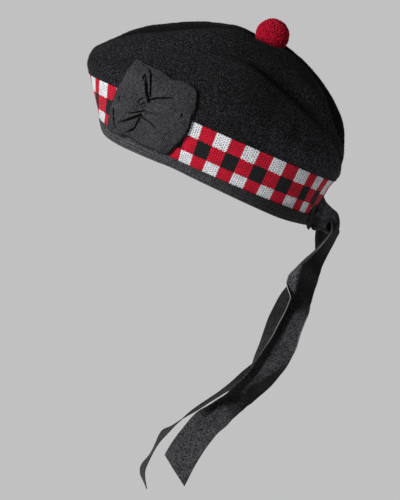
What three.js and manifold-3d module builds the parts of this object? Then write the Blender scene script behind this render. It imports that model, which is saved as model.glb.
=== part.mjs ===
import * as THREE from 'three';
import { mergeVertices } from 'three/addons/utils/BufferGeometryUtils.js';
import Module from 'manifold-3d';

// A glengarry: a creased wool cap with a diced band, a ribbon cockade, a wool ball and two ribbon tails.
// Millimetres. +Z is up, +Y points to the back and +X to the wearer's left. The origin is the middle
// of the head opening. The cap is shaped upright, then tipped front up, and its tails hang below it.

// How the cap sits
const TIP_DEG = 24;

// Cloth thicknesses and the gap between neighbours
const WOOL = 2.2;
const BAND = 1.4;
const TAPE = 1.0;
const RIBBON = 1.2;
const GAP = 0.3;

// The head opening at the rim, and the oval where the band ends and the crown begins
const RIM = { halfLength: 101.5, halfWidth: 80, centre: 2.3, height: 0, frontDip: 0, backDip: 0 };
const TOP = { halfLength: 119.3, halfWidth: 85.5, centre: -11.1, height: 45.7, frontDip: 4, backDip: 2.2 };
const COLUMN_TWIST_DEG = 6;
const BACK_NIP = 3.5;
const BACK_NIP_WIDTH_DEG = 26;

// Heights on the wall, measured up the cloth from the rim
const BINDING_HEIGHT = 9.5;
const BINDING_INSIDE_HEIGHT = 8;
const BINDING_SWELL = 0.3;
const CROWN_OVERHANG = 0.8;
const WALL_FOOT = TAPE + 2 * GAP;
const WALL_DEPTH = BAND + 2 * GAP;
const WALL_CLIMBS = [WALL_FOOT, BINDING_HEIGHT, (BINDING_HEIGHT + TOP.height) / 2, TOP.height];

// The crown, a row for each section from the front (0) to the back (180) round the oval:
// belly: swell of the side above the band; fold: the soft edge of the side panel; tuck: depth of the dip
// above that edge; swell: roundness of the upper panel; ridge: the crest beside the middle crease on the
// wearer's left; far: how much further back and higher the other crest runs; valley: bottom of the crease
const SECTIONS = [
  { at: 0, belly: 2, foldOut: 0, foldBack: -137.9, foldUp: 58.5, tuck: 0, swell: 0.6,
    ridgeOut: 0, ridgeBack: -136, ridgeUp: 66, farBack: 0, farUp: 0, valleyBack: -131, valleyUp: 72 },
  { at: 22.5, belly: 5, foldOut: 31, foldBack: -125.5, foldUp: 61, tuck: 0, swell: 2.5,
    ridgeOut: 13, ridgeBack: -121.5, ridgeUp: 80.5, farBack: 0, farUp: 1.5, valleyBack: -117, valleyUp: 77 },
  { at: 45, belly: 9, foldOut: 50, foldBack: -99, foldUp: 75, tuck: 0, swell: 4,
    ridgeOut: 25, ridgeBack: -99, ridgeUp: 95.8, farBack: 0, farUp: 6.5, valleyBack: -96, valleyUp: 87 },
  { at: 67.5, belly: 11, foldOut: 62, foldBack: -58, foldUp: 94, tuck: 1, swell: 5,
    ridgeOut: 29, ridgeBack: -60, ridgeUp: 117.2, farBack: 0, farUp: 5.8, valleyBack: -59, valleyUp: 105.5 },
  { at: 90, belly: 12, foldOut: 62, foldBack: -12, foldUp: 106.6, tuck: 5, swell: 6,
    ridgeOut: 22, ridgeBack: -21, ridgeUp: 132.9, farBack: 0, farUp: 1.4, valleyBack: -19, valleyUp: 120 },
  { at: 112.5, belly: 11, foldOut: 61, foldBack: 36, foldUp: 95.6, tuck: 7, swell: 7,
    ridgeOut: 21.5, ridgeBack: 26, ridgeUp: 131.6, farBack: 0, farUp: 3, valleyBack: 26, valleyUp: 116.5 },
  { at: 135, belly: 8, foldOut: 50, foldBack: 72, foldUp: 82, tuck: 6, swell: 6,
    ridgeOut: 19, ridgeBack: 62, ridgeUp: 114.1, farBack: 1, farUp: 5.2, valleyBack: 62, valleyUp: 103.5 },
  { at: 157.5, belly: 5, foldOut: 28, foldBack: 94, foldUp: 71.5, tuck: 4, swell: 4,
    ridgeOut: 15, ridgeBack: 84, ridgeUp: 90.3, farBack: 8.5, farUp: 6.4, valleyBack: 88, valleyUp: 86 },
  { at: 180, belly: 0.5, foldOut: 0, foldBack: 108.6, foldUp: 58, tuck: 0, swell: 0.6,
    ridgeOut: 0, ridgeBack: 105.6, ridgeUp: 70.3, farBack: 0, farUp: 0, valleyBack: 101.5, valleyUp: 79.5 },
];
// Where the points of a section lie along its length, as shares, and how finely each stretch is cut
const RIB_KNOTS = [0, 0.19, 0.42, 0.47, 0.66, 0.85, 1];
const RIB_STEPS = [3, 3, 2, 3, 3, 3];
const BELLY_SHARE = 0.45;
const TUCK_SHARE = 0.12;
const PANEL_SHARE = 0.5;
const STEPS_PER_SIDE = 30;

// The cockade lies on the wearer's left front. Its middle is at this angle and height on the wall, and its
// outline is seen from outside, a row for each corner: angle from straight back, turning up, and reach
const COCKADE = { at: 57.5, climb: 39.5, backing: 1.1, edge: 1.6, puff: 4.2, puffSkew: 0.8 };
const COCKADE_OUTLINE = [
  { angle: 12, reach: 43.3 }, { angle: 25, reach: 45.8 }, { angle: 35, reach: 48.2 },
  { angle: 40, reach: 49 },
  { angle: 45, reach: 47.1 }, { angle: 52, reach: 42.6 }, { angle: 59, reach: 37 },
  { angle: 74, reach: 35.6 },
  { angle: 89, reach: 35.7 }, { angle: 102, reach: 36.8 }, { angle: 113, reach: 40.1 },
  { angle: 121, reach: 33.3 },
  { angle: 133, reach: 27.5 }, { angle: 152, reach: 26.7 }, { angle: 174, reach: 28.2 },
  { angle: 188, reach: 32.3 },
  { angle: 200, reach: 37.6 }, { angle: 209, reach: 42.6 }, { angle: 215, reach: 45.8 },
  { angle: 221, reach: 44 },
  { angle: 230, reach: 36.5 }, { angle: 248, reach: 31.7 }, { angle: 272, reach: 30.8 },
  { angle: 294, reach: 32.7 },
  { angle: 314, reach: 40.9 }, { angle: 328, reach: 40.3 }, { angle: 346, reach: 41.6 },
  { angle: 359, reach: 42.7 },
];
// Towards the front the stiff ribbon stands away from the rounding wall, this far at this distance
const STAND = { rise: 8, at: 36 };
// The creases of the gathered ribbon: angle at the middle, angle at the outer end, and reach
const COCKADE_FOLDS = [
  { from: 86, to: 90, reach: 25 }, { from: 55, to: 39, reach: 27 }, { from: 203, to: 207, reach: 17 },
  { from: 228, to: 215, reach: 31 }, { from: 266, to: 231, reach: 33 }, { from: 306, to: 322, reach: 18 },
  { from: 350, to: 367, reach: 20 },
];
const CREASE = { depth: 3.2, width: 3.4, overrun: 1.25, fade: 0.5 };
const PINCH = { height: 2.2, reach: 3.5 };
const COCKADE_RINGS = 7;
const COCKADE_SPOKES = 48;
const BED = { share: 0.66, steps: 24, probe: 4 };

// The wool ball: a head with locks standing out of it
const TOORIE = { radius: 14.8, head: 13.6, back: 4.1, up: 139.8 };
const LOCKS = { count: 36, base: 3.9, tip: 2.5, sides: 5 };

// The folded ribbon behind the band, outlined from the side as it hangs, and the eye of its loop
const KNOT_HALF_WIDTH = 13;
const KNOT_OUTLINE = [
  { back: 109, up: -14 }, { back: 109.6, up: -20 }, { back: 113, up: -25 }, { back: 117.5, up: -29.5 },
  { back: 120.3, up: -36 }, { back: 121, up: -45 }, { back: 120, up: -49.5 }, { back: 116, up: -51.8 },
  { back: 109.5, up: -51.2 }, { back: 106.5, up: -48.8 }, { back: 102.5, up: -47.2 },
  { back: 98, up: -46.8 },
  { back: 97.3, up: -43.6 }, { back: 101.6, up: -34.6 }, { back: 102.6, up: -27.5 },
  { back: 106.2, up: -19 },
];
const KNOT_EYE = { back: 113, up: -43.6, halfBack: 2.4, halfUp: 3.6, sides: 10 };

// The tails. Each ribbon is bent along a line a third of the way in, into a narrow flap and a broad face.
// A row for each place: where that line hangs, and how far the face and the flap are turned from facing
// the wearer's left and a little upwards
const TAIL = { flap: 9.8, face: 19.2, bend: 3.2, lean: 11, steps: 30, cuts: 5, probe: 1e-3 };
const TAIL_NEAR = {
  slant: 16,
  rows: [
    { out: 11, back: 113.2, up: -52.5, face: 72, flap: -78 },
    { out: 13, back: 107.5, up: -62.8, face: 68, flap: -78 },
    { out: 15, back: 97.6, up: -73.8, face: 52, flap: -75 },
    { out: 16.5, back: 85.9, up: -82.9, face: 25, flap: -55 },
    { out: 18, back: 82.7, up: -93.4, face: 20, flap: -10 },
    { out: 19.5, back: 79.1, up: -106.7, face: 10, flap: 85 },
    { out: 21, back: 74.2, up: -121.7, face: -22, flap: 52 },
    { out: 24, back: 67.5, up: -138.4, face: -24, flap: 44 },
    { out: 27, back: 59.4, up: -152.4, face: -24, flap: 42 },
    { out: 31, back: 49.5, up: -168.9, face: -26, flap: 42 },
    { out: 34, back: 40.5, up: -179.2, face: 10, flap: 50 },
    { out: 37, back: 28, up: -189.1, face: 36, flap: 75 },
    { out: 40, back: 17.3, up: -197.5, face: 38, flap: 60 },
    { out: 43, back: 8.9, up: -206.4, face: 32, flap: 38 },
    { out: 46, back: -7.1, up: -220.9, face: 18, flap: 20 },
    { out: 50, back: -20.9, up: -237.6, face: 8, flap: 8 },
    { out: 55, back: -34.7, up: -261.8, face: 0, flap: 0 },
  ],
};
const TAIL_FAR = {
  slant: -10,
  rows: [
    { out: -3, back: 103, up: -52.4, face: 76, flap: 76 },
    { out: -7, back: 103.7, up: -64.9, face: 76, flap: 76 },
    { out: -9, back: 98.2, up: -82.6, face: 88, flap: 88 },
    { out: -4, back: 82.5, up: -100.2, face: 110, flap: 110 },
    { out: 3, back: 74.7, up: -127.4, face: 134, flap: 134 },
    { out: 7, back: 64.1, up: -148.2, face: 130, flap: 130 },
    { out: 12, back: 54, up: -163.1, face: 112, flap: 112 },
    { out: 18, back: 38.2, up: -175.5, face: 97, flap: 97 },
    { out: 23, back: 22.9, up: -186.7, face: 92, flap: 92 },
    { out: 27, back: 0.5, up: -200.5, face: 90, flap: 90 },
    { out: 31, back: -18.3, up: -213.3, face: 90, flap: 90 },
    { out: 35, back: -32.6, up: -224.8, face: 100, flap: 100 },
    { out: 38, back: -41.9, up: -235.5, face: 90, flap: 90 },
    { out: 40, back: -48.6, up: -247.8, face: 88, flap: 88 },
    { out: 42, back: -54.4, up: -259.2, face: 100, flap: 100 },
    { out: 44, back: -53, up: -275.1, face: 90, flap: 90 },
  ],
};

// Points closer than this are one point
const WELD = 1e-3;

const wasm = await Module();
wasm.setup();

const radians = THREE.MathUtils.degToRad;

// Weights that carry a smooth curve through values given at the knots (cubic Hermite with slopes taken
// from the neighbours on either side)
function splineWeights(knots, place) {
  const last = knots.length - 1;
  let i = 0;
  while (i < last - 1 && place > knots[i + 1]) i += 1;
  const span = knots[i + 1] - knots[i];
  const s = (place - knots[i]) / span;
  const weights = new Array(knots.length).fill(0);
  weights[i] += 2 * s ** 3 - 3 * s ** 2 + 1;
  weights[i + 1] += 3 * s ** 2 - 2 * s ** 3;
  const slopes = [[i, s ** 3 - 2 * s ** 2 + s], [i + 1, s ** 3 - s ** 2]];
  for (const [k, share] of slopes) {
    const before = Math.max(k - 1, 0);
    const after = Math.min(k + 1, last);
    const slope = share * span / (knots[after] - knots[before]);
    weights[after] += slope;
    weights[before] -= slope;
  }
  return weights;
}

function weightedSum(points, weights) {
  const sum = new THREE.Vector3();
  points.forEach((point, k) => sum.addScaledVector(point, weights[k]));
  return sum;
}

// Shares of the way along a line of points, from 0 at the first to 1 at the last
function sharesAlong(points) {
  const lengths = [0];
  points.slice(1).forEach((point, k) => lengths.push(lengths[k] + point.distanceTo(points[k])));
  const total = lengths[lengths.length - 1];
  return { shares: lengths.map((length) => length / total), total };
}

// Adds the quads between neighbouring columns of points; turned swaps the side that they face
function addPatch(faces, columns, turned = false) {
  for (let i = 0; i + 1 < columns.length; i += 1) {
    const a = turned ? columns[i + 1] : columns[i];
    const b = turned ? columns[i] : columns[i + 1];
    for (let k = 0; k + 1 < a.length; k += 1) {
      faces.push([a[k], a[k + 1], b[k + 1]], [a[k], b[k + 1], b[k]]);
    }
  }
}

// Makes one closed geometry of the faces, with every face pointing outwards
function solidOf(faces) {
  let volume = 0;
  for (const [a, b, c] of faces) volume += a.dot(new THREE.Vector3().crossVectors(b, c));
  const facing = volume < 0 ? faces.map(([a, b, c]) => [a, c, b]) : faces;
  const loose = new THREE.BufferGeometry().setFromPoints(facing.flat());
  const geometry = mergeVertices(loose, WELD);
  geometry.computeVertexNormals();
  return geometry;
}

// An oval point at an angle round the cap, 0 at the front and 180 at the back
function ovalPoint(oval, angle) {
  const front = Math.max(Math.cos(angle), 0) ** 3;
  const back = Math.max(-Math.cos(angle), 0) ** 3;
  return new THREE.Vector3(
    oval.halfWidth * Math.sin(angle),
    oval.centre - oval.halfLength * Math.cos(angle),
    oval.height - oval.frontDip * front - oval.backDip * back,
  );
}

// The outer face of the band: a straight wall from the rim to the crown, nipped in a little at the back.
// climb is the height up the cloth, and offset moves the point straight out of the wall
function wallPoint(angle, climb, offset = 0) {
  const share = climb / TOP.height;
  const rimAngle = angle - radians(COLUMN_TWIST_DEG) * Math.sin(angle) ** 4;
  const point = ovalPoint(RIM, rimAngle).lerp(ovalPoint(TOP, angle), share);
  const fromBack = (Math.PI - angle) / radians(BACK_NIP_WIDTH_DEG);
  const rise = Math.sin(Math.PI * THREE.MathUtils.clamp(share, 0, 1));
  const nip = BACK_NIP * Math.exp(-(fromBack ** 2)) * rise;
  const outward = outwardOf(angle);
  return point.addScaledVector(outward, offset - nip);
}

function outwardOf(angle) {
  const slope = new THREE.Vector3(TOP.halfLength * Math.sin(angle), -TOP.halfWidth * Math.cos(angle), 0);
  return slope.normalize();
}

// The points that one section of the crown runs through, from the band up and over to the middle crease
function sectionPoints(row, far) {
  const angle = radians(row.at);
  const outward = outwardOf(angle);
  const base = wallPoint(angle, TOP.height + 2 * GAP, CROWN_OVERHANG);
  const fold = new THREE.Vector3(row.foldOut, row.foldBack, row.foldUp);
  const ridge = new THREE.Vector3(row.ridgeOut, row.ridgeBack, row.ridgeUp);
  ridge.add(new THREE.Vector3(0, row.farBack, row.farUp).multiplyScalar(far));
  const belly = base.clone().lerp(fold, BELLY_SHARE).addScaledVector(outward, row.belly);
  const tuck = fold.clone().lerp(ridge, TUCK_SHARE).addScaledVector(outward, -row.tuck);
  const lift = outward.clone().add(new THREE.Vector3(0, 0, 1)).normalize();
  const panel = tuck.clone().lerp(ridge, PANEL_SHARE).addScaledVector(lift, row.swell);
  const valley = new THREE.Vector3(0, row.valleyBack, row.valleyUp);
  return [base, belly, fold, tuck, panel, ridge, valley];
}

const mirrored = (point) => new THREE.Vector3(-point.x, point.y, point.z);

// The net of section points for one side, carried one section past the front and back so that the two
// halves run smoothly into each other
function sectionNet(far) {
  const net = SECTIONS.map((row) => sectionPoints(row, far));
  const knots = SECTIONS.map((row) => radians(row.at));
  const step = knots[1] - knots[0];
  net.unshift(net[1].map(mirrored));
  net.push(net[net.length - 2].map(mirrored));
  return { net, knots: [-step, ...knots, Math.PI + step] };
}

const SIDES = { left: { sign: 1, ...sectionNet(0) }, right: { sign: -1, ...sectionNet(1) } };

// The outer face of the crown at an angle round the cap and a share of the way from the band to the crease
function crownPoint(side, angle, share) {
  const round = splineWeights(side.knots, angle);
  const rib = RIB_KNOTS.map((_, k) => weightedSum(side.net.map((row) => row[k]), round));
  return weightedSum(rib, splineWeights(RIB_KNOTS, share));
}

function ribShares() {
  const shares = [0];
  RIB_STEPS.forEach((steps, k) => {
    for (let s = 1; s <= steps; s += 1) {
      shares.push(THREE.MathUtils.lerp(RIB_KNOTS[k], RIB_KNOTS[k + 1], s / steps));
    }
  });
  return shares;
}

// Unit normals of a grid of points on one half, held in the middle plane along the front, back and crease
function gridNormals(columns) {
  const lastColumn = columns.length - 1;
  const lastRow = columns[0].length - 1;
  return columns.map((column, i) => column.map((point, k) => {
    const before = i === 0 ? mirrored(columns[1][k]) : columns[i - 1][k];
    const after = i === lastColumn ? mirrored(columns[lastColumn - 1][k]) : columns[i + 1][k];
    const below = column[Math.max(k - 1, 0)];
    const above = k === lastRow ? mirrored(column[k - 1]) : column[k + 1];
    const round = after.clone().sub(before);
    const upward = above.clone().sub(below);
    const normal = round.cross(upward);
    if (i === 0 || i === lastColumn || k === lastRow) normal.x = 0;
    return normal.normalize();
  }));
}

// The wool crown: a hollow shell from the rim, behind the band, up to the crease
function crownGeometry() {
  const hidden = -WALL_DEPTH;
  const climbs = [...WALL_CLIMBS.slice(0, -1), TOP.height + GAP];
  const faces = [];
  for (const side of Object.values(SIDES)) {
    const outer = [];
    const inner = [];
    const crown = [];
    for (let i = 0; i <= STEPS_PER_SIDE; i += 1) {
      const angle = Math.PI * i / STEPS_PER_SIDE;
      crown.push(ribShares().map((share) => crownPoint(side, angle, share)));
      outer.push(climbs.map((climb) => wallPoint(angle, climb, hidden)));
      inner.push(climbs.map((climb) => wallPoint(angle, climb, hidden - WOOL)));
    }
    const normals = gridNormals(crown);
    const place = (point) => new THREE.Vector3(side.sign * point.x, point.y, point.z);
    crown.forEach((column, i) => {
      outer[i].push(...column);
      inner[i].push(...column.map((point, k) => point.clone().addScaledVector(normals[i][k], -WOOL)));
    });
    const outside = outer.map((column) => column.map(place));
    const inside = inner.map((column, i) => [...column.map(place).reverse(), outside[i][0]]);
    addPatch(faces, outside, side.sign > 0);
    addPatch(faces, inside, side.sign > 0);
  }
  return solidOf(faces);
}

// A closed ring that carries a profile of offsets and heights round the wall
function ringGeometry(profile) {
  const steps = 2 * STEPS_PER_SIDE;
  const columns = [];
  for (let i = 0; i <= steps; i += 1) {
    const turn = i === steps ? 0 : 2 * Math.PI * i / steps;
    const angle = turn > Math.PI ? 2 * Math.PI - turn : turn;
    const loop = profile.map(({ offset, climb }) => wallPoint(angle, climb, offset));
    const column = turn > Math.PI ? loop.map(mirrored) : loop;
    columns.push([...column, column[0]]);
  }
  const faces = [];
  addPatch(faces, columns);
  return solidOf(faces);
}

function bandGeometry() {
  const outside = WALL_CLIMBS.map((climb) => ({ offset: 0, climb }));
  const inside = WALL_CLIMBS.map((climb) => ({ offset: -BAND, climb }));
  return ringGeometry([...outside.reverse(), ...inside]);
}

// The tape folded over the lower edge: an outside leaf, the turn under the rim and an inside leaf
function bindingGeometry() {
  const outside = GAP + TAPE;
  const inside = -(WALL_DEPTH + WOOL + GAP);
  const middle = BINDING_HEIGHT / 2;
  return ringGeometry([
    { offset: GAP, climb: BINDING_HEIGHT }, { offset: outside, climb: BINDING_HEIGHT },
    { offset: outside + BINDING_SWELL, climb: middle }, { offset: outside, climb: TAPE },
    { offset: GAP, climb: 0 }, { offset: inside, climb: 0 },
    { offset: inside - TAPE, climb: TAPE }, { offset: inside - TAPE, climb: BINDING_INSIDE_HEIGHT },
    { offset: inside, climb: BINDING_INSIDE_HEIGHT }, { offset: inside, climb: TAPE + GAP },
    { offset: GAP, climb: TAPE + GAP },
  ]);
}

// The face of the cap under the cockade: the wall, then as much further up the crown as the climb asks for
function bedPoint(angle, climb) {
  if (climb <= TOP.height) return wallPoint(angle, climb, CROWN_OVERHANG);
  let left = climb - TOP.height;
  let from = crownPoint(SIDES.left, angle, 0);
  for (let k = 1; k <= BED.steps; k += 1) {
    const to = crownPoint(SIDES.left, angle, BED.share * k / BED.steps);
    const pace = from.distanceTo(to);
    if (pace >= left) return from.lerp(to, left / pace);
    left -= pace;
    from = to;
  }
  return from;
}

// A point over the bed, at a distance back and up from the middle of the cockade, standing off by height
function cockadePoint(back, up, height) {
  const angle = radians(COCKADE.at);
  const swing = BED.probe / TOP.halfLength;
  const pace = bedPoint(angle + swing, COCKADE.climb).distanceTo(bedPoint(angle, COCKADE.climb)) / swing;
  const place = (b, u) => bedPoint(angle + b / pace, COCKADE.climb + u);
  const round = place(back + BED.probe, up).sub(place(back - BED.probe, up));
  const upward = place(back, up + BED.probe).sub(place(back, up - BED.probe));
  const outward = round.cross(upward).normalize();
  const stand = STAND.rise * (Math.min(back, 0) / STAND.at) ** 2;
  return place(back, up).addScaledVector(outward, height + stand);
}

// Reach of the cockade's outline at an angle, running smoothly through its corners and round again
function cockadeReach(angle) {
  const rows = COCKADE_OUTLINE;
  const first = rows[0];
  const last = rows[rows.length - 1];
  const ring = [{ ...last, angle: last.angle - 360 }, ...rows, { ...first, angle: first.angle + 360 }];
  const turn = angle < first.angle ? angle + 360 : angle;
  const weights = splineWeights(ring.map((row) => row.angle), turn);
  return ring.reduce((sum, row, k) => sum + row.reach * weights[k], 0);
}

// Height of the gathered ribbon: puffed between the creases and pinched at the middle
function cockadeHeight(back, up, share) {
  const reach = Math.hypot(back, up);
  const turn = THREE.MathUtils.radToDeg(Math.atan2(up, back));
  let crease = 0;
  for (const fold of COCKADE_FOLDS) {
    const line = THREE.MathUtils.lerp(fold.from, fold.to, Math.min(reach / fold.reach, 1));
    const swing = radians(THREE.MathUtils.euclideanModulo(turn - line + 180, 360) - 180);
    const away = Math.abs(swing) < Math.PI / 2 ? reach * Math.sin(swing) : reach;
    const fade = THREE.MathUtils.smoothstep(CREASE.overrun - reach / fold.reach, 0, CREASE.fade);
    crease = Math.max(crease, fade * Math.exp(-((away / CREASE.width) ** 2)));
  }
  const dome = COCKADE.puff * Math.sin(Math.PI * share ** COCKADE.puffSkew);
  const pinch = PINCH.height * Math.exp(-((reach / PINCH.reach) ** 2));
  return COCKADE.edge + pinch + Math.max(dome - CREASE.depth * crease, 0);
}

function cockadeGeometry() {
  const faces = [];
  const front = [];
  const behind = [];
  for (let i = 0; i <= COCKADE_SPOKES; i += 1) {
    const degrees = 360 * (i % COCKADE_SPOKES) / COCKADE_SPOKES;
    const angle = radians(degrees);
    const spokeFront = [];
    const spokeBehind = [];
    for (let k = 0; k <= COCKADE_RINGS; k += 1) {
      const share = k / COCKADE_RINGS;
      const back = share * cockadeReach(degrees) * Math.cos(angle);
      const up = share * cockadeReach(degrees) * Math.sin(angle);
      spokeFront.push(cockadePoint(back, up, COCKADE.backing + cockadeHeight(back, up, share)));
      spokeBehind.push(cockadePoint(back, up, COCKADE.backing));
    }
    front.push(spokeFront);
    behind.push([spokeFront[COCKADE_RINGS], ...spokeBehind.reverse()]);
  }
  addPatch(faces, front);
  addPatch(faces, behind);
  return solidOf(faces.filter(([a, b, c]) => !(a.equals(b) || b.equals(c) || c.equals(a))));
}

// A closed geometry as a solid that can be joined
function joinable(geometry) {
  const bare = geometry.clone();
  bare.deleteAttribute('normal');
  bare.deleteAttribute('uv');
  const merged = mergeVertices(bare, WELD);
  return new wasm.Manifold(new wasm.Mesh({
    numProp: 3,
    vertProperties: new Float32Array(merged.attributes.position.array),
    triVerts: new Uint32Array(merged.index.array),
  }));
}

// The wool ball: locks of wool standing out of a round head, joined to it
function toorieGeometry() {
  const goldenTurn = Math.PI * (3 - Math.sqrt(5));
  let ball = joinable(new THREE.IcosahedronGeometry(TOORIE.head, 1));
  const lockLength = TOORIE.radius - TOORIE.head / 2;
  for (let i = 0; i < LOCKS.count; i += 1) {
    const height = 1 - (2 * i + 1) / LOCKS.count;
    const ring = Math.sqrt(1 - height ** 2);
    const turned = i * goldenTurn;
    const outward = new THREE.Vector3(ring * Math.cos(turned), ring * Math.sin(turned), height);
    const lock = new THREE.CylinderGeometry(LOCKS.tip, LOCKS.base, lockLength, LOCKS.sides);
    lock.rotateY(turned);
    const turn = new THREE.Quaternion().setFromUnitVectors(new THREE.Vector3(0, 1, 0), outward);
    lock.applyQuaternion(turn);
    lock.translate(...outward.multiplyScalar(TOORIE.radius - lockLength / 2));
    ball = ball.add(joinable(lock));
  }
  const mesh = ball.getMesh();
  const geometry = new THREE.BufferGeometry();
  geometry.setAttribute('position', new THREE.BufferAttribute(mesh.vertProperties, mesh.numProp));
  geometry.setIndex(new THREE.BufferAttribute(mesh.triVerts, 1));
  geometry.computeVertexNormals();
  return geometry;
}

// The folded ribbon behind the band: its side outline, with the eye of the loop, carried across the ribbon
function tailKnotGeometry() {
  const outline = new THREE.Shape(KNOT_OUTLINE.map((row) => new THREE.Vector2(row.back, row.up)));
  const eye = new THREE.Path();
  eye.absellipse(KNOT_EYE.back, KNOT_EYE.up, KNOT_EYE.halfBack, KNOT_EYE.halfUp, 0, 2 * Math.PI);
  outline.holes.push(eye);
  const geometry = new THREE.ExtrudeGeometry(outline, {
    depth: 2 * KNOT_HALF_WIDTH, bevelEnabled: false, curveSegments: KNOT_EYE.sides / 2,
  });
  const across = new THREE.Vector3(1, 0, 0);
  const back = new THREE.Vector3(0, 1, 0);
  const up = new THREE.Vector3(0, 0, 1);
  const basis = new THREE.Matrix4().makeBasis(back, up, across);
  geometry.translate(0, 0, -KNOT_HALF_WIDTH);
  return geometry.applyMatrix4(basis);
}

// How far a point of the ribbon lies from its bend line, and how far the ribbon is turned there
function acrossTail(across, face, flap) {
  const bendShare = (place) => THREE.MathUtils.smoothstep(place, -TAIL.bend, TAIL.bend);
  const turnAt = (place) => radians(THREE.MathUtils.lerp(flap, face, bendShare(place)));
  const pace = across / TAIL.steps;
  const offset = new THREE.Vector2();
  for (let k = 0; k < TAIL.steps; k += 1) {
    const turn = turnAt(pace * (k + 0.5));
    offset.add(new THREE.Vector2(Math.cos(turn), -Math.sin(turn)).multiplyScalar(pace));
  }
  return { offset, turn: turnAt(across) };
}

// A ribbon carried along the rows of a table, bent and turned as they say, with a slanted end
function tailGeometry(tail) {
  const line = tail.rows.map((row) => new THREE.Vector3(row.out, row.back, row.up));
  const { shares, total } = sharesAlong(line);
  const middle = (share) => weightedSum(line, splineWeights(shares, share));
  const value = (share, column) => {
    const weights = splineWeights(shares, share);
    return tail.rows.reduce((sum, row, k) => sum + row[column] * weights[k], 0);
  };
  const lean = radians(TAIL.lean);
  const columns = [];
  for (let i = 0; i <= TAIL.steps; i += 1) {
    const front = [];
    const behind = [];
    for (let k = 0; k <= TAIL.cuts; k += 1) {
      const across = THREE.MathUtils.lerp(-TAIL.flap, TAIL.face, k / TAIL.cuts);
      const short = Math.abs(tail.slant) * (tail.slant > 0 ? 1 - k / TAIL.cuts : k / TAIL.cuts) / total;
      const share = (i / TAIL.steps) * (1 - short);
      const before = middle(Math.max(share - TAIL.probe, 0));
      const run = middle(Math.min(share + TAIL.probe, 1)).sub(before).normalize();
      const level = new THREE.Vector3(Math.cos(lean), 0, Math.sin(lean));
      level.addScaledVector(run, -level.dot(run)).normalize();
      const flat = new THREE.Vector3().crossVectors(level, run);
      const { offset, turn } = acrossTail(across, value(share, 'face'), value(share, 'flap'));
      const facing = level.clone().multiplyScalar(Math.cos(turn)).addScaledVector(flat, Math.sin(turn));
      const point = middle(share).addScaledVector(flat, offset.x).addScaledVector(level, offset.y);
      front.push(point.clone().addScaledVector(facing, RIBBON / 2));
      behind.unshift(point.clone().addScaledVector(facing, -RIBBON / 2));
    }
    columns.push([...front, ...behind, front[0]]);
  }
  const faces = [];
  addPatch(faces, columns);
  const cuts = TAIL.cuts + 1;
  for (const [column, turned] of [[columns[0], true], [columns[TAIL.steps], false]]) {
    const front = column.slice(0, cuts);
    const behind = column.slice(cuts, 2 * cuts).reverse();
    addPatch(faces, [front, behind], turned);
  }
  return solidOf(faces);
}

// The finishes
const FINISHES = {
  wool: { color: '#232428', roughness: 0.95, metalness: 0 },
  dice: { color: '#b3152f', roughness: 0.9, metalness: 0 },
  tape: { color: '#2b2c30', roughness: 0.8, metalness: 0 },
  ribbon: { color: '#3c3d41', roughness: 0.7, metalness: 0 },
  ball: { color: '#a50c2b', roughness: 1, metalness: 0 },
};

function piece(name, geometry, finish) {
  const mesh = new THREE.Mesh(geometry, new THREE.MeshStandardMaterial(FINISHES[finish]));
  mesh.name = name;
  return mesh;
}

const cap = new THREE.Group();
cap.rotation.x = -radians(TIP_DEG);
cap.add(piece('crown', crownGeometry(), 'wool'));
cap.add(piece('diced_band', bandGeometry(), 'dice'));
cap.add(piece('edge_binding', bindingGeometry(), 'tape'));
cap.add(piece('cockade', cockadeGeometry(), 'ribbon'));
const toorie = piece('toorie', toorieGeometry(), 'ball');
toorie.position.set(0, TOORIE.back, TOORIE.up);
cap.add(toorie);

const glengarry = new THREE.Group();
glengarry.add(cap);
glengarry.add(piece('tail_knot', tailKnotGeometry(), 'ribbon'));
glengarry.add(piece('tail_near', tailGeometry(TAIL_NEAR), 'ribbon'));
glengarry.add(piece('tail_far', tailGeometry(TAIL_FAR), 'ribbon'));

export default glengarry;
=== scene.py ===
"""A glengarry in the studio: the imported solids, dressed as wool, knit, tape and ribbon.

Shapes are worked out in millimetres and put into meshes in metres. The cap is shaped upright and then
tipped front up, as it is worn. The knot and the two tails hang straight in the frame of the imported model.
"""

import logging
from dataclasses import dataclass, field
from enum import Enum

import bmesh
import bpy
import numpy as np
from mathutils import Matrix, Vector


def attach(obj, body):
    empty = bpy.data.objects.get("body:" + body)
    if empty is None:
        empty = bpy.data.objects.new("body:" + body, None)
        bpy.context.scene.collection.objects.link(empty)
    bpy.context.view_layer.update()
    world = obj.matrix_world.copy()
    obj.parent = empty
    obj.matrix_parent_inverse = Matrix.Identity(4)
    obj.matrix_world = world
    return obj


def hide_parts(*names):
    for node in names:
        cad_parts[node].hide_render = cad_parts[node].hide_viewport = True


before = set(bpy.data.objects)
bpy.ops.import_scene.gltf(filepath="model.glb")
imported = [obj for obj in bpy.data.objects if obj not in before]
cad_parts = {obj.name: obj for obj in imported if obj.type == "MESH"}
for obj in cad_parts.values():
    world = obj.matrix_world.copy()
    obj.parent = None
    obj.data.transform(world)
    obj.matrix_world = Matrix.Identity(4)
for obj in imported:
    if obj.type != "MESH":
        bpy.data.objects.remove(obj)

LOG = logging.getLogger("glengarry")
Array = np.ndarray
Thing = bpy.types.Object
Material = bpy.types.Material
Node = bpy.types.Node
Socket = bpy.types.NodeSocket
Tree = bpy.types.NodeTree
MM = 0.001
ROOT = "root"
WELD = 2e-6
FULL_TURN = 2.0 * np.pi
FINE_TURN = np.linspace(0.0, FULL_TURN, 1441)


# Sums shared by the pieces


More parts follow.
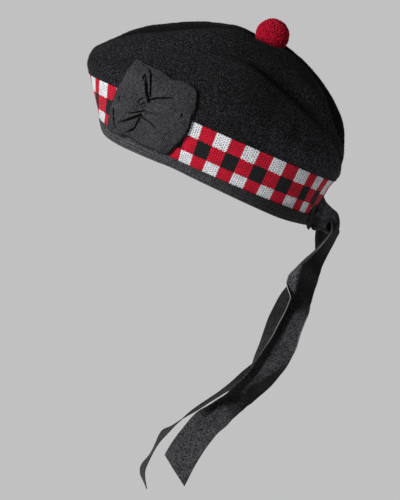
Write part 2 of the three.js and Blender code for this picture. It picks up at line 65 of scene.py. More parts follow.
def linear(code: str) -> tuple[float, float, float, float]:
    """Turns an sRGB hex colour into linear light.

    Args:
        code: Six hex digits after a hash sign.

    Returns:
        Red, green, blue and an alpha of one.
    """
    parts = np.array([int(code[k:k + 2], 16) for k in (1, 3, 5)]) / 255.0
    low = parts / 12.92
    high = ((parts + 0.055) / 1.055) ** 2.4
    red, green, blue = np.where(parts <= 0.04045, low, high)
    return float(red), float(green), float(blue), 1.0


def per_mm(size: float) -> float:
    """Gives the texture scale, in repeats to a metre, of a detail of this many millimetres."""
    return 1.0 / (size * MM)


def smooth(value: Array, low: float, high: float) -> Array:
    """Eases from 0 at low to 1 at high, flat at both ends."""
    share = np.clip((value - low) / (high - low), 0.0, 1.0)
    return share * share * (3.0 - 2.0 * share)


def look_up(table: tuple[tuple[float, float], ...], places: Array) -> Array:
    """Reads a table of places and values, with straight lines between its rows."""
    return np.interp(places, *np.array(table).T)


def from_front(angle: Array) -> Array:
    """Gives the angle from the front, the shorter way round the cap."""
    return np.minimum(angle, FULL_TURN - angle)


def squared(wave: Array, power: float) -> Array:
    """Raises the size of a wave to a power and keeps its sign; a small power makes it squarer."""
    return np.sign(wave) * np.abs(wave) ** power


def ball_grid(turns: int, tilts: int) -> Array:
    """Gives a grid of points on a ball of radius one, with its poles on the first axis."""
    turn = np.linspace(0.0, FULL_TURN, turns)[:, None]
    tilt = np.linspace(-0.5 * np.pi, 0.5 * np.pi, tilts)
    ring = np.cos(tilt)
    parts = np.broadcast_arrays(np.sin(tilt), ring * np.cos(turn), ring * np.sin(turn))
    return np.stack(parts, axis=-1)


def spline_weights(knots: Array, places: Array) -> Array:
    """Weights that carry a smooth curve through values given at knots.

    Each stretch is a cubic Hermite curve whose end slopes come from the neighbours on either side.

    Args:
        knots: Rising places of the given values.
        places: Places where the curve is wanted, in any shape.

    Returns:
        An array of the places' shape with one more axis, a weight for each knot.
    """
    knots = np.asarray(knots, float)
    flat = np.asarray(places, float).ravel()
    last = len(knots) - 1
    start = np.clip(np.searchsorted(knots, flat, side="left") - 1, 0, last - 1)
    span = knots[start + 1] - knots[start]
    s = (flat - knots[start]) / span
    rows = np.arange(len(flat))
    weights = np.zeros((len(flat), last + 1))
    weights[rows, start] += 2 * s**3 - 3 * s**2 + 1
    weights[rows, start + 1] += 3 * s**2 - 2 * s**3
    for knot, share in ((start, s**3 - 2 * s**2 + s), (start + 1, s**3 - s**2)):
        before = np.maximum(knot - 1, 0)
        after = np.minimum(knot + 1, last)
        slope = share * span / (knots[after] - knots[before])
        weights[rows, after] += slope
        weights[rows, before] -= slope
    return weights.reshape(*np.shape(places), last + 1)


def unit(vectors: Array) -> Array:
    """Scales vectors to a length of one."""
    return vectors / np.maximum(np.linalg.norm(vectors, axis=-1, keepdims=True), 1e-9)


def shares_along(points: Array) -> tuple[Array, float]:
    """Measures a line of points.

    Args:
        points: The line's points in order.

    Returns:
        Each point's share of the way along, and the whole length.
    """
    paces = np.linalg.norm(np.diff(points, axis=0), axis=1)
    lengths = np.concatenate([[0.0], np.cumsum(paces)])
    return lengths / lengths[-1], float(lengths[-1])


def ripple(points: Array, size: float, seed: int, count: int = 18) -> Array:
    """Smooth unevenness: a sum of sine waves of about one size that run in all directions.

    Args:
        points: Where it is wanted, in millimetres.
        size: The usual wave length in millimetres.
        seed: Picks the waves.
        count: How many waves are summed.

    Returns:
        Heights that spread about evenly round zero.
    """
    random = np.random.default_rng(seed)
    heading = unit(random.normal(size=(count, points.shape[-1])))
    pace = FULL_TURN / (size * random.uniform(0.7, 1.4, count))
    phase = random.uniform(0.0, FULL_TURN, count)
    return np.sin(points @ (heading * pace[:, None]).T + phase).sum(-1) / np.sqrt(count)


def nearest_on_line(places: Array, line: Array) -> tuple[Array, Array, Array]:
    """Finds where flat places lie beside a bent line.

    Args:
        places: Flat places, two numbers each.
        line: The line's corners in order.

    Returns:
        The distance from the line, the share of the way along it, and the side, positive to its left.
    """
    start = line[:-1]
    step = np.diff(line, axis=0)
    length = np.linalg.norm(step, axis=1)
    gap = places[..., None, :] - start
    along = np.clip((gap * step).sum(-1) / length**2, 0.0, 1.0)
    away = gap - along[..., None] * step
    distance = np.linalg.norm(away, axis=-1)
    pick = np.argmin(distance, axis=-1)[..., None]
    before = np.concatenate([[0.0], np.cumsum(length)[:-1]])
    run = (before + along * length) / length.sum()
    side = step[:, 0] * away[..., 1] - step[:, 1] * away[..., 0]
    chosen = [np.take_along_axis(part, pick, -1)[..., 0] for part in (distance, run, side)]
    return chosen[0], chosen[1], np.sign(chosen[2])


# Meshes, materials and places


@dataclass
class Patchwork:
    """Grids of points that are sewn together into one mesh."""

    points: list[Array] = field(default_factory=list)
    quads: list[Array] = field(default_factory=list)
    coords: list[Array] = field(default_factory=list)
    shades: list[Array] = field(default_factory=list)
    count: int = 0

    def add(self, points: Array, coords: Array | None = None, shade: Array | float = 1.0) -> None:
        """Adds a grid, or many grids of one size, that face the way of first axis cross second axis.

        Args:
            points: Points in millimetres; the last three axes are the grid's two and the point's three.
            coords: Cloth coordinates of the same grid, or none for zeros.
            shade: The painted light and shade at each point, as a share of the full colour.
        """
        rows, columns = points.shape[-3:-1]
        flat = points.reshape(-1, 3)
        index = self.count + np.arange(len(flat)).reshape(-1, rows, columns)
        corners = [index[:, :-1, :-1], index[:, 1:, :-1], index[:, 1:, 1:], index[:, :-1, 1:]]
        self.quads.append(np.stack(corners, axis=-1).reshape(-1, 4))
        self.points.append(flat)
        self.coords.append(np.zeros((len(flat), 2)) if coords is None else coords.reshape(-1, 2))
        self.shades.append(np.broadcast_to(shade, points.shape[:-1]).ravel())
        self.count += len(flat)

    def make(self, name: str) -> Thing:
        """Makes the mesh object, with its seams and poles welded.

        Args:
            name: The new object's name.

        Returns:
            The object, at the origin, with a UV map of the cloth coordinates and the shade of each point.
        """
        points = np.concatenate(self.points) * MM
        quads = np.concatenate(self.quads)
        coords = np.concatenate(self.coords)
        mesh = bpy.data.meshes.new(name)
        mesh.from_pydata(points.tolist(), [], quads.tolist(), shade_flat=False)
        layer = mesh.uv_layers.new(name="cloth")
        layer.data.foreach_set("uv", coords[quads.ravel()].astype(np.float32).ravel())
        shades = mesh.attributes.new("shade", "FLOAT", "POINT")
        shades.data.foreach_set("value", np.concatenate(self.shades).astype(np.float32))
        sewn = bmesh.new()
        sewn.from_mesh(mesh)
        bmesh.ops.remove_doubles(sewn, verts=sewn.verts, dist=WELD)
        sewn.to_mesh(mesh)
        sewn.free()
        made = bpy.data.objects.new(name, mesh)
        bpy.context.scene.collection.objects.link(made)
        return made


def add_node(tree: Tree, kind: str, inputs: dict | None = None, **settings) -> Node:
    """Adds one shader node with its settings and links.

    Args:
        tree: The material's node tree.
        kind: The node's type name, without its prefix.
        inputs: A value or an output socket for each input, by name or number.
        **settings: Values for the node's own fields.

    Returns:
        The new node.
    """
    made = tree.nodes.new("ShaderNode" + kind)
    for name, value in settings.items():
        setattr(made, name, value)
    for key, value in (inputs or {}).items():
        if isinstance(value, Socket):
            tree.links.new(value, made.inputs[key])
        else:
            made.inputs[key].default_value = value
    return made


def maths(tree: Tree, operation: str, *values: Socket | float) -> Socket:
    """Adds one sum of sockets and numbers, and returns its result."""
    return add_node(tree, "Math", dict(enumerate(values)), operation=operation).outputs[0]


def vector_maths(tree: Tree, operation: str, inputs: dict) -> Socket:
    """Adds one sum of vectors, and returns its result."""
    return add_node(tree, "VectorMath", inputs, operation=operation).outputs[0]


def noise(tree: Tree, place: Socket, size: float, detail: float = 2.0) -> Socket:
    """Adds a noise with details of this many millimetres, and returns its value."""
    inputs = {"Vector": place, "Scale": per_mm(size), "Detail": detail}
    return add_node(tree, "TexNoise", inputs).outputs["Fac"]


def dots(tree: Tree, place: Socket, scale: float) -> Socket:
    """Adds a random value for each small square of the cloth, this many to a unit, and returns it."""
    grown = vector_maths(tree, "SCALE", {0: place, "Scale": scale})
    square = vector_maths(tree, "FLOOR", {0: grown})
    return add_node(tree, "TexWhiteNoise", {"Vector": square}).outputs["Value"]


def mapped(
        tree: Tree, value: Socket, start: float, end: float, low: float = 0.0, high: float = 1.0) -> Socket:
    """Maps a value from one range to another, held at both ends, and returns it."""
    limits = {"From Min": start, "From Max": end, "To Min": low, "To Max": high}
    return add_node(tree, "MapRange", {"Value": value, **limits}).outputs["Result"]


def mixed(
        tree: Tree, factor: Socket | float, first: Socket, second: Socket | tuple,
        blend: str = "MIX") -> Socket:
    """Mixes two colours, and returns the mixture."""
    inputs = {"Factor": factor, "A": first, "B": second}
    return add_node(tree, "Mix", inputs, data_type="RGBA", blend_type=blend).outputs["Result"]


def ramp(tree: Tree, share: Socket, *stops: tuple[float, str], steps: bool = False) -> Socket:
    """Adds a colour ramp.

    Args:
        tree: The material's node tree.
        share: The place on the ramp.
        *stops: A place and an sRGB hex colour for each stop, in order.
        steps: Whether the colours change at once instead of blending.

    Returns:
        The colour.
    """
    made = add_node(tree, "ValToRGB", {"Fac": share})
    if steps:
        made.color_ramp.interpolation = "CONSTANT"
    elements = made.color_ramp.elements
    while len(elements) < len(stops):
        elements.new(1.0)
    for element, (place, code) in zip(elements, stops):
        element.position = place
        element.color = linear(code)
    return made.outputs["Color"]


def shaded(tree: Tree, colour: Socket) -> Socket:
    """Multiplies a colour by the painted light and shade that the mesh carries, and returns it."""
    shade = add_node(tree, "Attribute", attribute_name="shade")
    return mixed(tree, 1.0, colour, shade.outputs["Fac"], "MULTIPLY")


def new_material(name: str) -> tuple[Material, Tree]:
    """Makes an empty node material and returns it with its tree."""
    made = bpy.data.materials.new(name)
    made.use_nodes = True
    made.node_tree.nodes.clear()
    return made, made.node_tree


def surface(
        tree: Tree, colour: Socket | tuple, height: Socket, strength: float, relief: float,
        values: dict) -> None:
    """Ends a material with its shader.

    Args:
        tree: The material's node tree.
        colour: The base colour.
        height: The relief, from 0 to about 1.
        strength: How strongly the relief shows.
        relief: The relief's full height in millimetres.
        values: The shader's other values, by name.
    """
    bump = add_node(tree, "Bump", {"Height": height, "Strength": strength, "Distance": relief * MM})
    inputs = {"Base Color": colour, "Normal": bump.outputs["Normal"], **values}
    shader = add_node(tree, "BsdfPrincipled", inputs)
    add_node(tree, "OutputMaterial", {"Surface": shader.outputs["BSDF"]})


def settle(piece: Thing, material: Material, slot: str, *nodes: str) -> Thing:
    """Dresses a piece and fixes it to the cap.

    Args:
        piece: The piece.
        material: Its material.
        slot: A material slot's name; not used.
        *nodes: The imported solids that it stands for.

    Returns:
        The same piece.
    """
    piece.data.materials.append(material)
    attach(piece, ROOT)
    if nodes:
        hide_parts(*nodes)
    LOG.info("%s: %d faces", piece.name, len(piece.data.polygons))
    return piece


# Finishes


@dataclass(frozen=True)
class MilledWool:
    """Black milled wool: knitted, then shrunk into felt, so fine fibre ends show as a soft grain."""

    name: str = "black_milled_wool"
    clump: float = 1.5
    fibre: float = 0.8
    dark: str = "#050506"
    middle: str = "#131315"
    light: str = "#333336"
    stops: tuple[float, float, float] = (0.41, 0.5, 0.59)
    relief: float = 0.45

    def material(self) -> Material:
        """Makes the material: two sizes of noise for colour and relief, times the painted light and shade
        of the mesh.
        """
        made, tree = new_material(self.name)
        place = add_node(tree, "TexCoord").outputs["Object"]
        both = maths(tree, "ADD", noise(tree, place, self.clump, 3.0), noise(tree, place, self.fibre))
        half = maths(tree, "MULTIPLY", both, 0.5)
        grain = ramp(tree, half, *zip(self.stops, (self.dark, self.middle, self.light)))
        surface(tree, shaded(tree, grain), half, 1.0, self.relief, {
            "Roughness": 0.95, "Specular IOR Level": 0.1,
            "Sheen Weight": 0.02, "Sheen Roughness": 0.6, "Sheen Tint": linear("#8c8c92")})
        return made


@dataclass(frozen=True)
class KnittedDice:
    """A knitted wool band in red, white and black squares, each loop of yarn a small V."""

    name: str = "knitted_dice"
    white: str = "#dfe1e5"
    red: str = "#c40c2c"
    black: str = "#18191b"
    wales: float = 3.0
    courses: float = 5.0
    ragged: float = 0.05
    fuzz: float = 0.4
    dye: float = 0.15
    # How deep the loops lie, and the share of colour they keep there: painted shade between the loops.
    depths: tuple[float, float] = (0.37, 0.93)
    shades: tuple[float, float] = (0.2, 1.25)
    relief: float = 0.5

    def material(self) -> Material:
        """Makes the material from the band's coordinates: columns in x and rows in y, one unit a square.

        The loops are drawn 4.4 mm wide and 2.6 mm high, coarser than the real 1.5 mm, so that they show.
        """
        made, tree = new_material(self.name)
        place = add_node(tree, "UVMap", uv_map="cloth").outputs["UV"]
        fuzz = add_node(tree, "TexNoise", {"Vector": place, "Scale": self.courses * 2.0, "Detail": 2.0})
        shift = vector_maths(tree, "SUBTRACT", {0: fuzz.outputs["Color"], 1: (0.5, 0.5, 0.5)})
        nudge = vector_maths(tree, "SCALE", {0: shift, "Scale": 3.0 * self.ragged})
        parts = add_node(tree, "SeparateXYZ", {0: vector_maths(tree, "ADD", {0: place, 1: nudge})}).outputs
        straight = add_node(tree, "SeparateXYZ", {0: place}).outputs
        leg = maths(tree, "PINGPONG", maths(tree, "MULTIPLY", straight["X"], self.wales), 0.5)
        vee = maths(tree, "MULTIPLY_ADD", leg, 2.0 * self.ragged, parts["Y"])
        odd = maths(tree, "FLOORED_MODULO", maths(tree, "FLOOR", parts["X"]), 2.0)
        middle = maths(tree, "COMPARE", maths(tree, "FLOOR", vee), 1.0, 0.5)
        share = maths(tree, "MULTIPLY", maths(tree, "ADD", odd, middle), 0.5)
        dice = ramp(tree, share, (0.0, self.white), (0.25, self.red), (0.75, self.black), steps=True)
        rows = maths(tree, "MULTIPLY", straight["Y"], self.courses)
        yarn = maths(tree, "PINGPONG", maths(tree, "MULTIPLY_ADD", leg, 2.0, rows), 0.5)
        rounded = maths(tree, "ADD", yarn, maths(tree, "PINGPONG", leg, 0.25))
        height = maths(tree, "MULTIPLY_ADD", fuzz.outputs["Fac"], self.fuzz, rounded)
        # Painted shade: the colour darkens where the yarn lies low between the loops, with a random dye for
        # each loop.
        uneven = maths(tree, "MULTIPLY_ADD", dots(tree, place, self.courses), self.dye, height)
        colour = mixed(tree, 1.0, dice, mapped(tree, uneven, *self.depths, *self.shades), "MULTIPLY")
        surface(tree, colour, height, 0.8, self.relief, {
            "Roughness": 0.9, "Specular IOR Level": 0.2, "Sheen Weight": 0.05, "Sheen Roughness": 0.5})
        return made


class RibRun(Enum):
    """Which way the ribs of a woven ribbon run, as the cloth coordinate that they count along."""

    ACROSS = "Y"
    ALONG = "X"


@dataclass(frozen=True)
class RibbedRibbon:
    """Black ribbed ribbon or tape: thick weft threads under a fine warp, with a soft shine."""

    name: str = "black_ribbed_ribbon"
    pitch: float = 1.3
    run: RibRun = RibRun.ACROSS
    width: float = 0.0
    selvage: float = 0.9
    contrast: float = 0.12
    speck: float = 0.6
    dark: str = "#0f0f11"
    light: str = "#404043"
    # The edge colour is a painted highlight, drawn selvage wide along the edges of a ribbon of given width
    # and along its crease.
    edge: str = "#747477"
    edge_highlight_ends: tuple[float, float] = (0.0, 0.0)
    crease_at: float = 0.0
    crease_end: float = 0.0
    warp_share: float = 0.7
    warp_depth: float = 0.35
    grain: float = 1.2
    grain_depth: float = 0.8
    wear: float = 14.0
    wear_depth: float = 0.25
    stops: tuple[float, float] = (0.38, 0.88)
    relief: float = 0.3

    def material(self) -> Material:
        """Makes the material: ribs, a fine warp, and a painted highlight along the edges and the crease
        where it has them.

        The ribs are drawn wider than the real 0.8 mm, so that they show.
        """
        made, tree = new_material(self.name)
        place = add_node(tree, "UVMap", uv_map="cloth").outputs["UV"]
        spot = add_node(tree, "TexCoord").outputs["Object"]
        parts = add_node(tree, "SeparateXYZ", {0: place}).outputs
        other = "X" if self.run is RibRun.ACROSS else "Y"
        ribs, threads = per_mm(self.pitch), per_mm(self.warp_share * self.pitch)
        rib = maths(tree, "SINE", maths(tree, "MULTIPLY", parts[self.run.value], FULL_TURN * ribs))
        warp = maths(tree, "SINE", maths(tree, "MULTIPLY", parts[other], FULL_TURN * threads))
        weave = maths(tree, "MULTIPLY_ADD", warp, self.warp_depth, rib)
        grain = noise(tree, spot, self.grain, 3.0)
        tone = maths(tree, "MULTIPLY_ADD", weave, self.contrast, grain)
        tone = maths(tree, "MULTIPLY_ADD", noise(tree, spot, self.wear), self.wear_depth, tone)
        glint = maths(tree, "SUBTRACT", dots(tree, place, threads), 0.5)
        tone = maths(tree, "MULTIPLY_ADD", glint, self.speck, tone)
        colour = ramp(tree, tone, *zip(self.stops, (self.dark, self.light)))
        # Painted highlight along the woven edges, only between its two ends down the cloth.
        if self.width:
            half = 0.5 * self.width
            away = maths(tree, "ABSOLUTE", maths(tree, "SUBTRACT", parts["X"], half * MM))
            rim = mapped(tree, away, (half - self.selvage) * MM, (half - 0.4 * self.selvage) * MM)
            edge_highlight_span = mapped(tree, parts["Y"], self.edge_highlight_ends[1] * MM, self.edge_highlight_ends[0] * MM)
            colour = mixed(tree, maths(tree, "MULTIPLY", rim, edge_highlight_span), colour, linear(self.edge))
        # Painted highlight along the crease, down to its end.
        if self.crease_end:
            beside = maths(tree, "ABSOLUTE", maths(tree, "SUBTRACT", parts["X"], self.crease_at * MM))
            crease_highlight = mapped(tree, beside, 0.8 * self.selvage * MM, 0.2 * self.selvage * MM)
            ended = mapped(tree, parts["Y"], self.crease_end * MM, 0.8 * self.crease_end * MM)
            colour = mixed(tree, maths(tree, "MULTIPLY", crease_highlight, ended), colour, linear(self.edge))
        height = maths(tree, "MULTIPLY_ADD", grain, self.grain_depth, weave)
        surface(tree, shaded(tree, colour), height, 0.6, self.relief, {
            "Roughness": 0.7, "Specular IOR Level": 0.12, "Sheen Weight": 0.04, "Sheen Roughness": 0.4})
        return made


@dataclass(frozen=True)
class CurledWool:
    """Red wool yarn in tight curls: deep in the gaps, with soft fuzzy tips."""

    name: str = "red_curled_wool"
    strand: float = 0.7
    dark: str = "#680313"
    light: str = "#cc1235"
    relief: float = 0.3

    def material(self) -> Material:
        """Makes the material: a fine noise for the strands of the yarn."""
        made, tree = new_material(self.name)
        strand = noise(tree, add_node(tree, "TexCoord").outputs["Object"], self.strand, 3.0)
        colour = ramp(tree, strand, (0.35, self.dark), (0.65, self.light))
        surface(tree, colour, strand, 0.8, self.relief, {
            "Roughness": 0.95, "Specular IOR Level": 0.15,
            "Sheen Weight": 0.05, "Sheen Roughness": 0.5, "Sheen Tint": linear("#e08090")})
        return made


@dataclass(frozen=True)
class PaleSweep:
    """A pale painted studio floor, matt and even."""

    name: str = "pale_studio_floor"
    colour: str = "#f9f9fa"
    mottle: float = 900.0

    def material(self) -> Material:
        """Makes the material: a matt paint with a faint mottle."""
        made, tree = new_material(self.name)
        mottle = noise(tree, add_node(tree, "TexCoord").outputs["Object"], self.mottle)
        values = {"Roughness": 0.9, "Specular IOR Level": 0.0}
        surface(tree, linear(self.colour), mottle, 0.05, 1.0, values)
        return made


# The form of the cap that its cloths lie on


@dataclass(frozen=True)
class Oval:
    """An oval round the cap, in millimetres, that may dip at the front and at the back."""

    half_length: float
    half_width: float
    centre: float
    height: float = 0.0
    front_dip: float = 0.0
    back_dip: float = 0.0

    def at(self, angle: Array) -> Array:
        """Gives its points at angles round the cap, 0 at the front and half a turn at the back."""
        cosine = np.cos(angle)
        front = np.maximum(cosine, 0.0) ** 3
        back = np.maximum(-cosine, 0.0) ** 3
        return np.stack([
            self.half_width * np.sin(angle),
            self.centre - self.half_length * cosine,
            self.height - self.front_dip * front - self.back_dip * back,
        ], axis=-1)


@dataclass(frozen=True)
class Section:
    """One section of the crown, from the band up and over to the middle crease.

    fold is the soft edge of the side panel and tuck the dip above it; ridge is the crest beside the crease
    on the wearer's left, and far how much further back and higher the other crest runs; valley is the
    crease.
    """

    at: float
    belly: float
    fold: tuple[float, float, float]
    tuck: float
    swell: float
    ridge: tuple[float, float, float]
    far: tuple[float, float]
    valley: tuple[float, float]


SECTIONS = (
    Section(0.0, 2.0, (0, -137.9, 58.5), 0.0, 0.6, (0, -136, 66), (0, 0), (-131, 72)),
    Section(22.5, 5.0, (31, -125.5, 61), 0.0, 2.5, (13, -121.5, 80.5), (0, 1.5), (-117, 77)),
    Section(45.0, 9.0, (50, -99, 75), 0.0, 4.0, (25, -99, 95.8), (0, 6.5), (-96, 87)),
    Section(67.5, 11.0, (62, -58, 94), 1.0, 5.0, (29, -60, 117.2), (0, 6.4), (-59, 105.5)),
    Section(90.0, 12.0, (62, -12, 106.6), 5.0, 6.0, (22, -21, 132.9), (0, 2.8), (-19, 120)),
    Section(112.5, 11.0, (61, 36, 95.6), 7.0, 7.0, (21.5, 26, 131.6), (0, 3), (26, 116.5)),
    Section(135.0, 8.0, (50, 72, 82), 6.0, 6.0, (19, 62, 114.1), (1, 5.2), (62, 103.5)),
    Section(157.5, 6.0, (28, 94, 71.5), 4.0, 4.0, (15, 84, 90.3), (8.5, 6.4), (88, 86)),
    Section(180.0, 1.7, (0, 108.6, 58), 0.0, 0.6, (0, 105.6, 70.3), (0, 0), (101.5, 79.5)),
)


@dataclass(frozen=True)
class CapForm:
    """The shape of the cap, upright: an oval wall for the band, and a creased crown above it."""

    tip: float = np.radians(24.0)
    rim: Oval = Oval(101.5, 80.0, 2.3)
    top: Oval = Oval(119.3, 85.5, -11.1, 45.7, 4.0, 2.2)
    column_twist: float = np.radians(6.0)
    back_nip: float = 3.5
    nip_width: float = np.radians(26.0)
    overhang: float = 0.8
    seam: float = 0.6
    rib_knots: tuple[float, ...] = (0.0, 0.19, 0.42, 0.47, 0.66, 0.85, 1.0)
    belly_share: float = 0.45
    tuck_share: float = 0.12
    panel_share: float = 0.5
    bed_top: float = 0.66
    bed_steps: int = 25

    def tipped(self, points: Array) -> Array:
        """Turns upright points front up, as the cap is worn."""
        cosine, sine = np.cos(self.tip), np.sin(self.tip)
        back, up = points[..., 1], points[..., 2]
        return np.stack([points[..., 0], back * cosine + up * sine, up * cosine - back * sine], axis=-1)

    def outward(self, angle: Array) -> Array:
        """Gives the level direction straight out of the wall, on the wearer's left half."""
        slope = [self.top.half_length * np.sin(angle), -self.top.half_width * np.cos(angle), 0.0 * angle]
        return unit(np.stack(slope, axis=-1))

    def wall(self, angle: Array, climb: Array, offset: Array | float = 0.0) -> Array:
        """Points on the outer face of the band: straight from the rim to the crown, nipped in at the back.

        Args:
            angle: Angle round the cap, up to a full turn, by the wearer's left first.
            climb: Height up the cloth from the rim.
            offset: Distance straight out of the wall.

        Returns:
            The points, in the shape that the three make together.
        """
        angle, climb, offset = np.broadcast_arrays(np.asarray(angle, float), climb, offset)
        half = from_front(angle)
        share = (climb / self.top.height)[..., None]
        twisted = half - self.column_twist * np.sin(half) ** 4
        point = self.rim.at(twisted) * (1.0 - share) + self.top.at(half) * share
        from_back = (np.pi - half) / self.nip_width
        rise = np.sin(np.pi * np.clip(climb / self.top.height, 0.0, 1.0))
        nip = self.back_nip * np.exp(-(from_back**2)) * rise
        point = point + self.outward(half) * (offset - nip)[..., None]
        point[..., 0] *= np.where(angle > np.pi, -1.0, 1.0)
        return point

    def section_points(self, row: Section, far: float) -> Array:
        """Gives the seven points that a section runs through.

        Args:
            row: The section.
            far: 0 on the wearer's left and 1 on the right.

        Returns:
            Base, belly, fold, tuck, panel, ridge and valley.
        """
        angle = np.radians(row.at)
        out = self.outward(np.array(angle))
        base = self.wall(np.array(angle), self.top.height + self.seam, self.overhang)
        fold = np.array(row.fold, float)
        ridge = np.array(row.ridge, float) + far * np.array([0.0, *row.far])
        belly = base + self.belly_share * (fold - base) + row.belly * out
        tuck = fold + self.tuck_share * (ridge - fold) - row.tuck * out
        lift = unit(out + np.array([0.0, 0.0, 1.0]))
        panel = tuck + self.panel_share * (ridge - tuck) + row.swell * lift
        return np.array([base, belly, fold, tuck, panel, ridge, (0.0, *row.valley)])

    def net(self, far: float) -> tuple[Array, Array]:
        """Gives the angles and points of one half's sections, carried one past the front and the back."""
        mirror = np.array([-1.0, 1.0, 1.0])
        points = np.array([self.section_points(row, far) for row in SECTIONS])
        knots = np.radians([row.at for row in SECTIONS])
        step = knots[1] - knots[0]
        points = np.concatenate([points[1:2] * mirror, points, points[-2:-1] * mirror])
        return np.concatenate([[-step], knots, [knots[-1] + step]]), points

    def crown(self, angles: Array, shares: Array, far: float = 0.0) -> Array:
        """Points of the crown's outer face: splines round the cap and along each section.

        Args:
            angles: Angles from the front to the back, any number.
            shares: Shares of the way from the band to the crease.
            far: 0 on the wearer's left and 1 on the right.

        Returns:
            A grid of angles by shares.
        """
        knots, net = self.net(far)
        round_cap = spline_weights(knots, angles)
        along = spline_weights(np.array(self.rib_knots), shares)
        points = np.einsum("as,skc,vk->avc", round_cap, net, along, optimize=True)
        points[..., 0] *= 1.0 - 2.0 * far
        return points

    def bed(self, angle: Array, climb: Array) -> Array:
        """Points on the face of the cap on the wearer's left: up the wall, then along the crown's section.

        Args:
            angle: Angle round the cap.
            climb: Distance up the cloth from the rim, of the same shape.

        Returns:
            The points.
        """
        flat_angle, flat_climb = angle.ravel(), climb.ravel()
        ribs = self.crown(flat_angle, np.linspace(0.0, self.bed_top, self.bed_steps))
        paces = np.linalg.norm(np.diff(ribs, axis=1), axis=2)
        lengths = np.concatenate([np.zeros((len(ribs), 1)), np.cumsum(paces, axis=1)], axis=1)
        left = np.clip(flat_climb - self.top.height, 0.0, lengths[:, -1] - 1e-6)
        start = np.clip((lengths <= left[:, None]).sum(1) - 1, 0, paces.shape[1] - 1)
        rows = np.arange(len(ribs))
        share = ((left - lengths[rows, start]) / paces[rows, start])[:, None]
        on_crown = ribs[rows, start] * (1.0 - share) + ribs[rows, start + 1] * share
        on_wall = self.wall(flat_angle, flat_climb, self.overhang)
        points = np.where((flat_climb > self.top.height)[:, None], on_crown, on_wall)
        return points.reshape(*angle.shape, 3)


FORM = CapForm()
END_CALM = 0.06
CALM_ROWS = (0.6, 0.9)


def ring_normals(points: Array) -> Array:
    """Unit normals of a ring of columns whose tops meet in the middle crease.

    Args:
        points: Columns round the cap, from the front by the wearer's left, by rows up to the crease.

    Returns:
        Normals that point out of the cloth; near the crease's two ends they lean towards the middle plane.
    """
    mirror = (-np.arange(len(points))) % len(points)
    round_cap = np.roll(points, -1, axis=0) - np.roll(points, 1, axis=0)
    above = np.concatenate([points[:, 1:], points[mirror, -2:-1]], axis=1)
    below = np.concatenate([points[:, :1], points[:, :-1]], axis=1)
    normals = np.cross(round_cap, above - below)
    lost = np.linalg.norm(normals[:, -1], axis=-1) < 1e-6
    normals[lost, -1] = normals[lost, -2]
    normals = unit(normals)
    half = len(points) // 2
    column = np.arange(len(points))
    from_end = (column + half // 2) % half - half // 2
    near = np.exp(-((from_end / (END_CALM * half)) ** 2))[:, None]
    near = (near * smooth(np.linspace(0.0, 1.0, points.shape[1]), *CALM_ROWS))[..., None]
    ends = normals[np.where(np.abs(column - half) < half // 2, half, 0)]
    return unit(normals * (1.0 - near) + ends * near)


def closed(ring: Array) -> Array:
    """Repeats the first column of a ring after its last."""
    return np.concatenate([ring, ring[:1]])


# The pieces


@dataclass(frozen=True)
class Dent:
    """A soft hollow in the crown: its angle and share of the way up, depth, and reach round and up."""

    at: float
    share: float
    depth: float
    reach_round: float
    reach_up: float


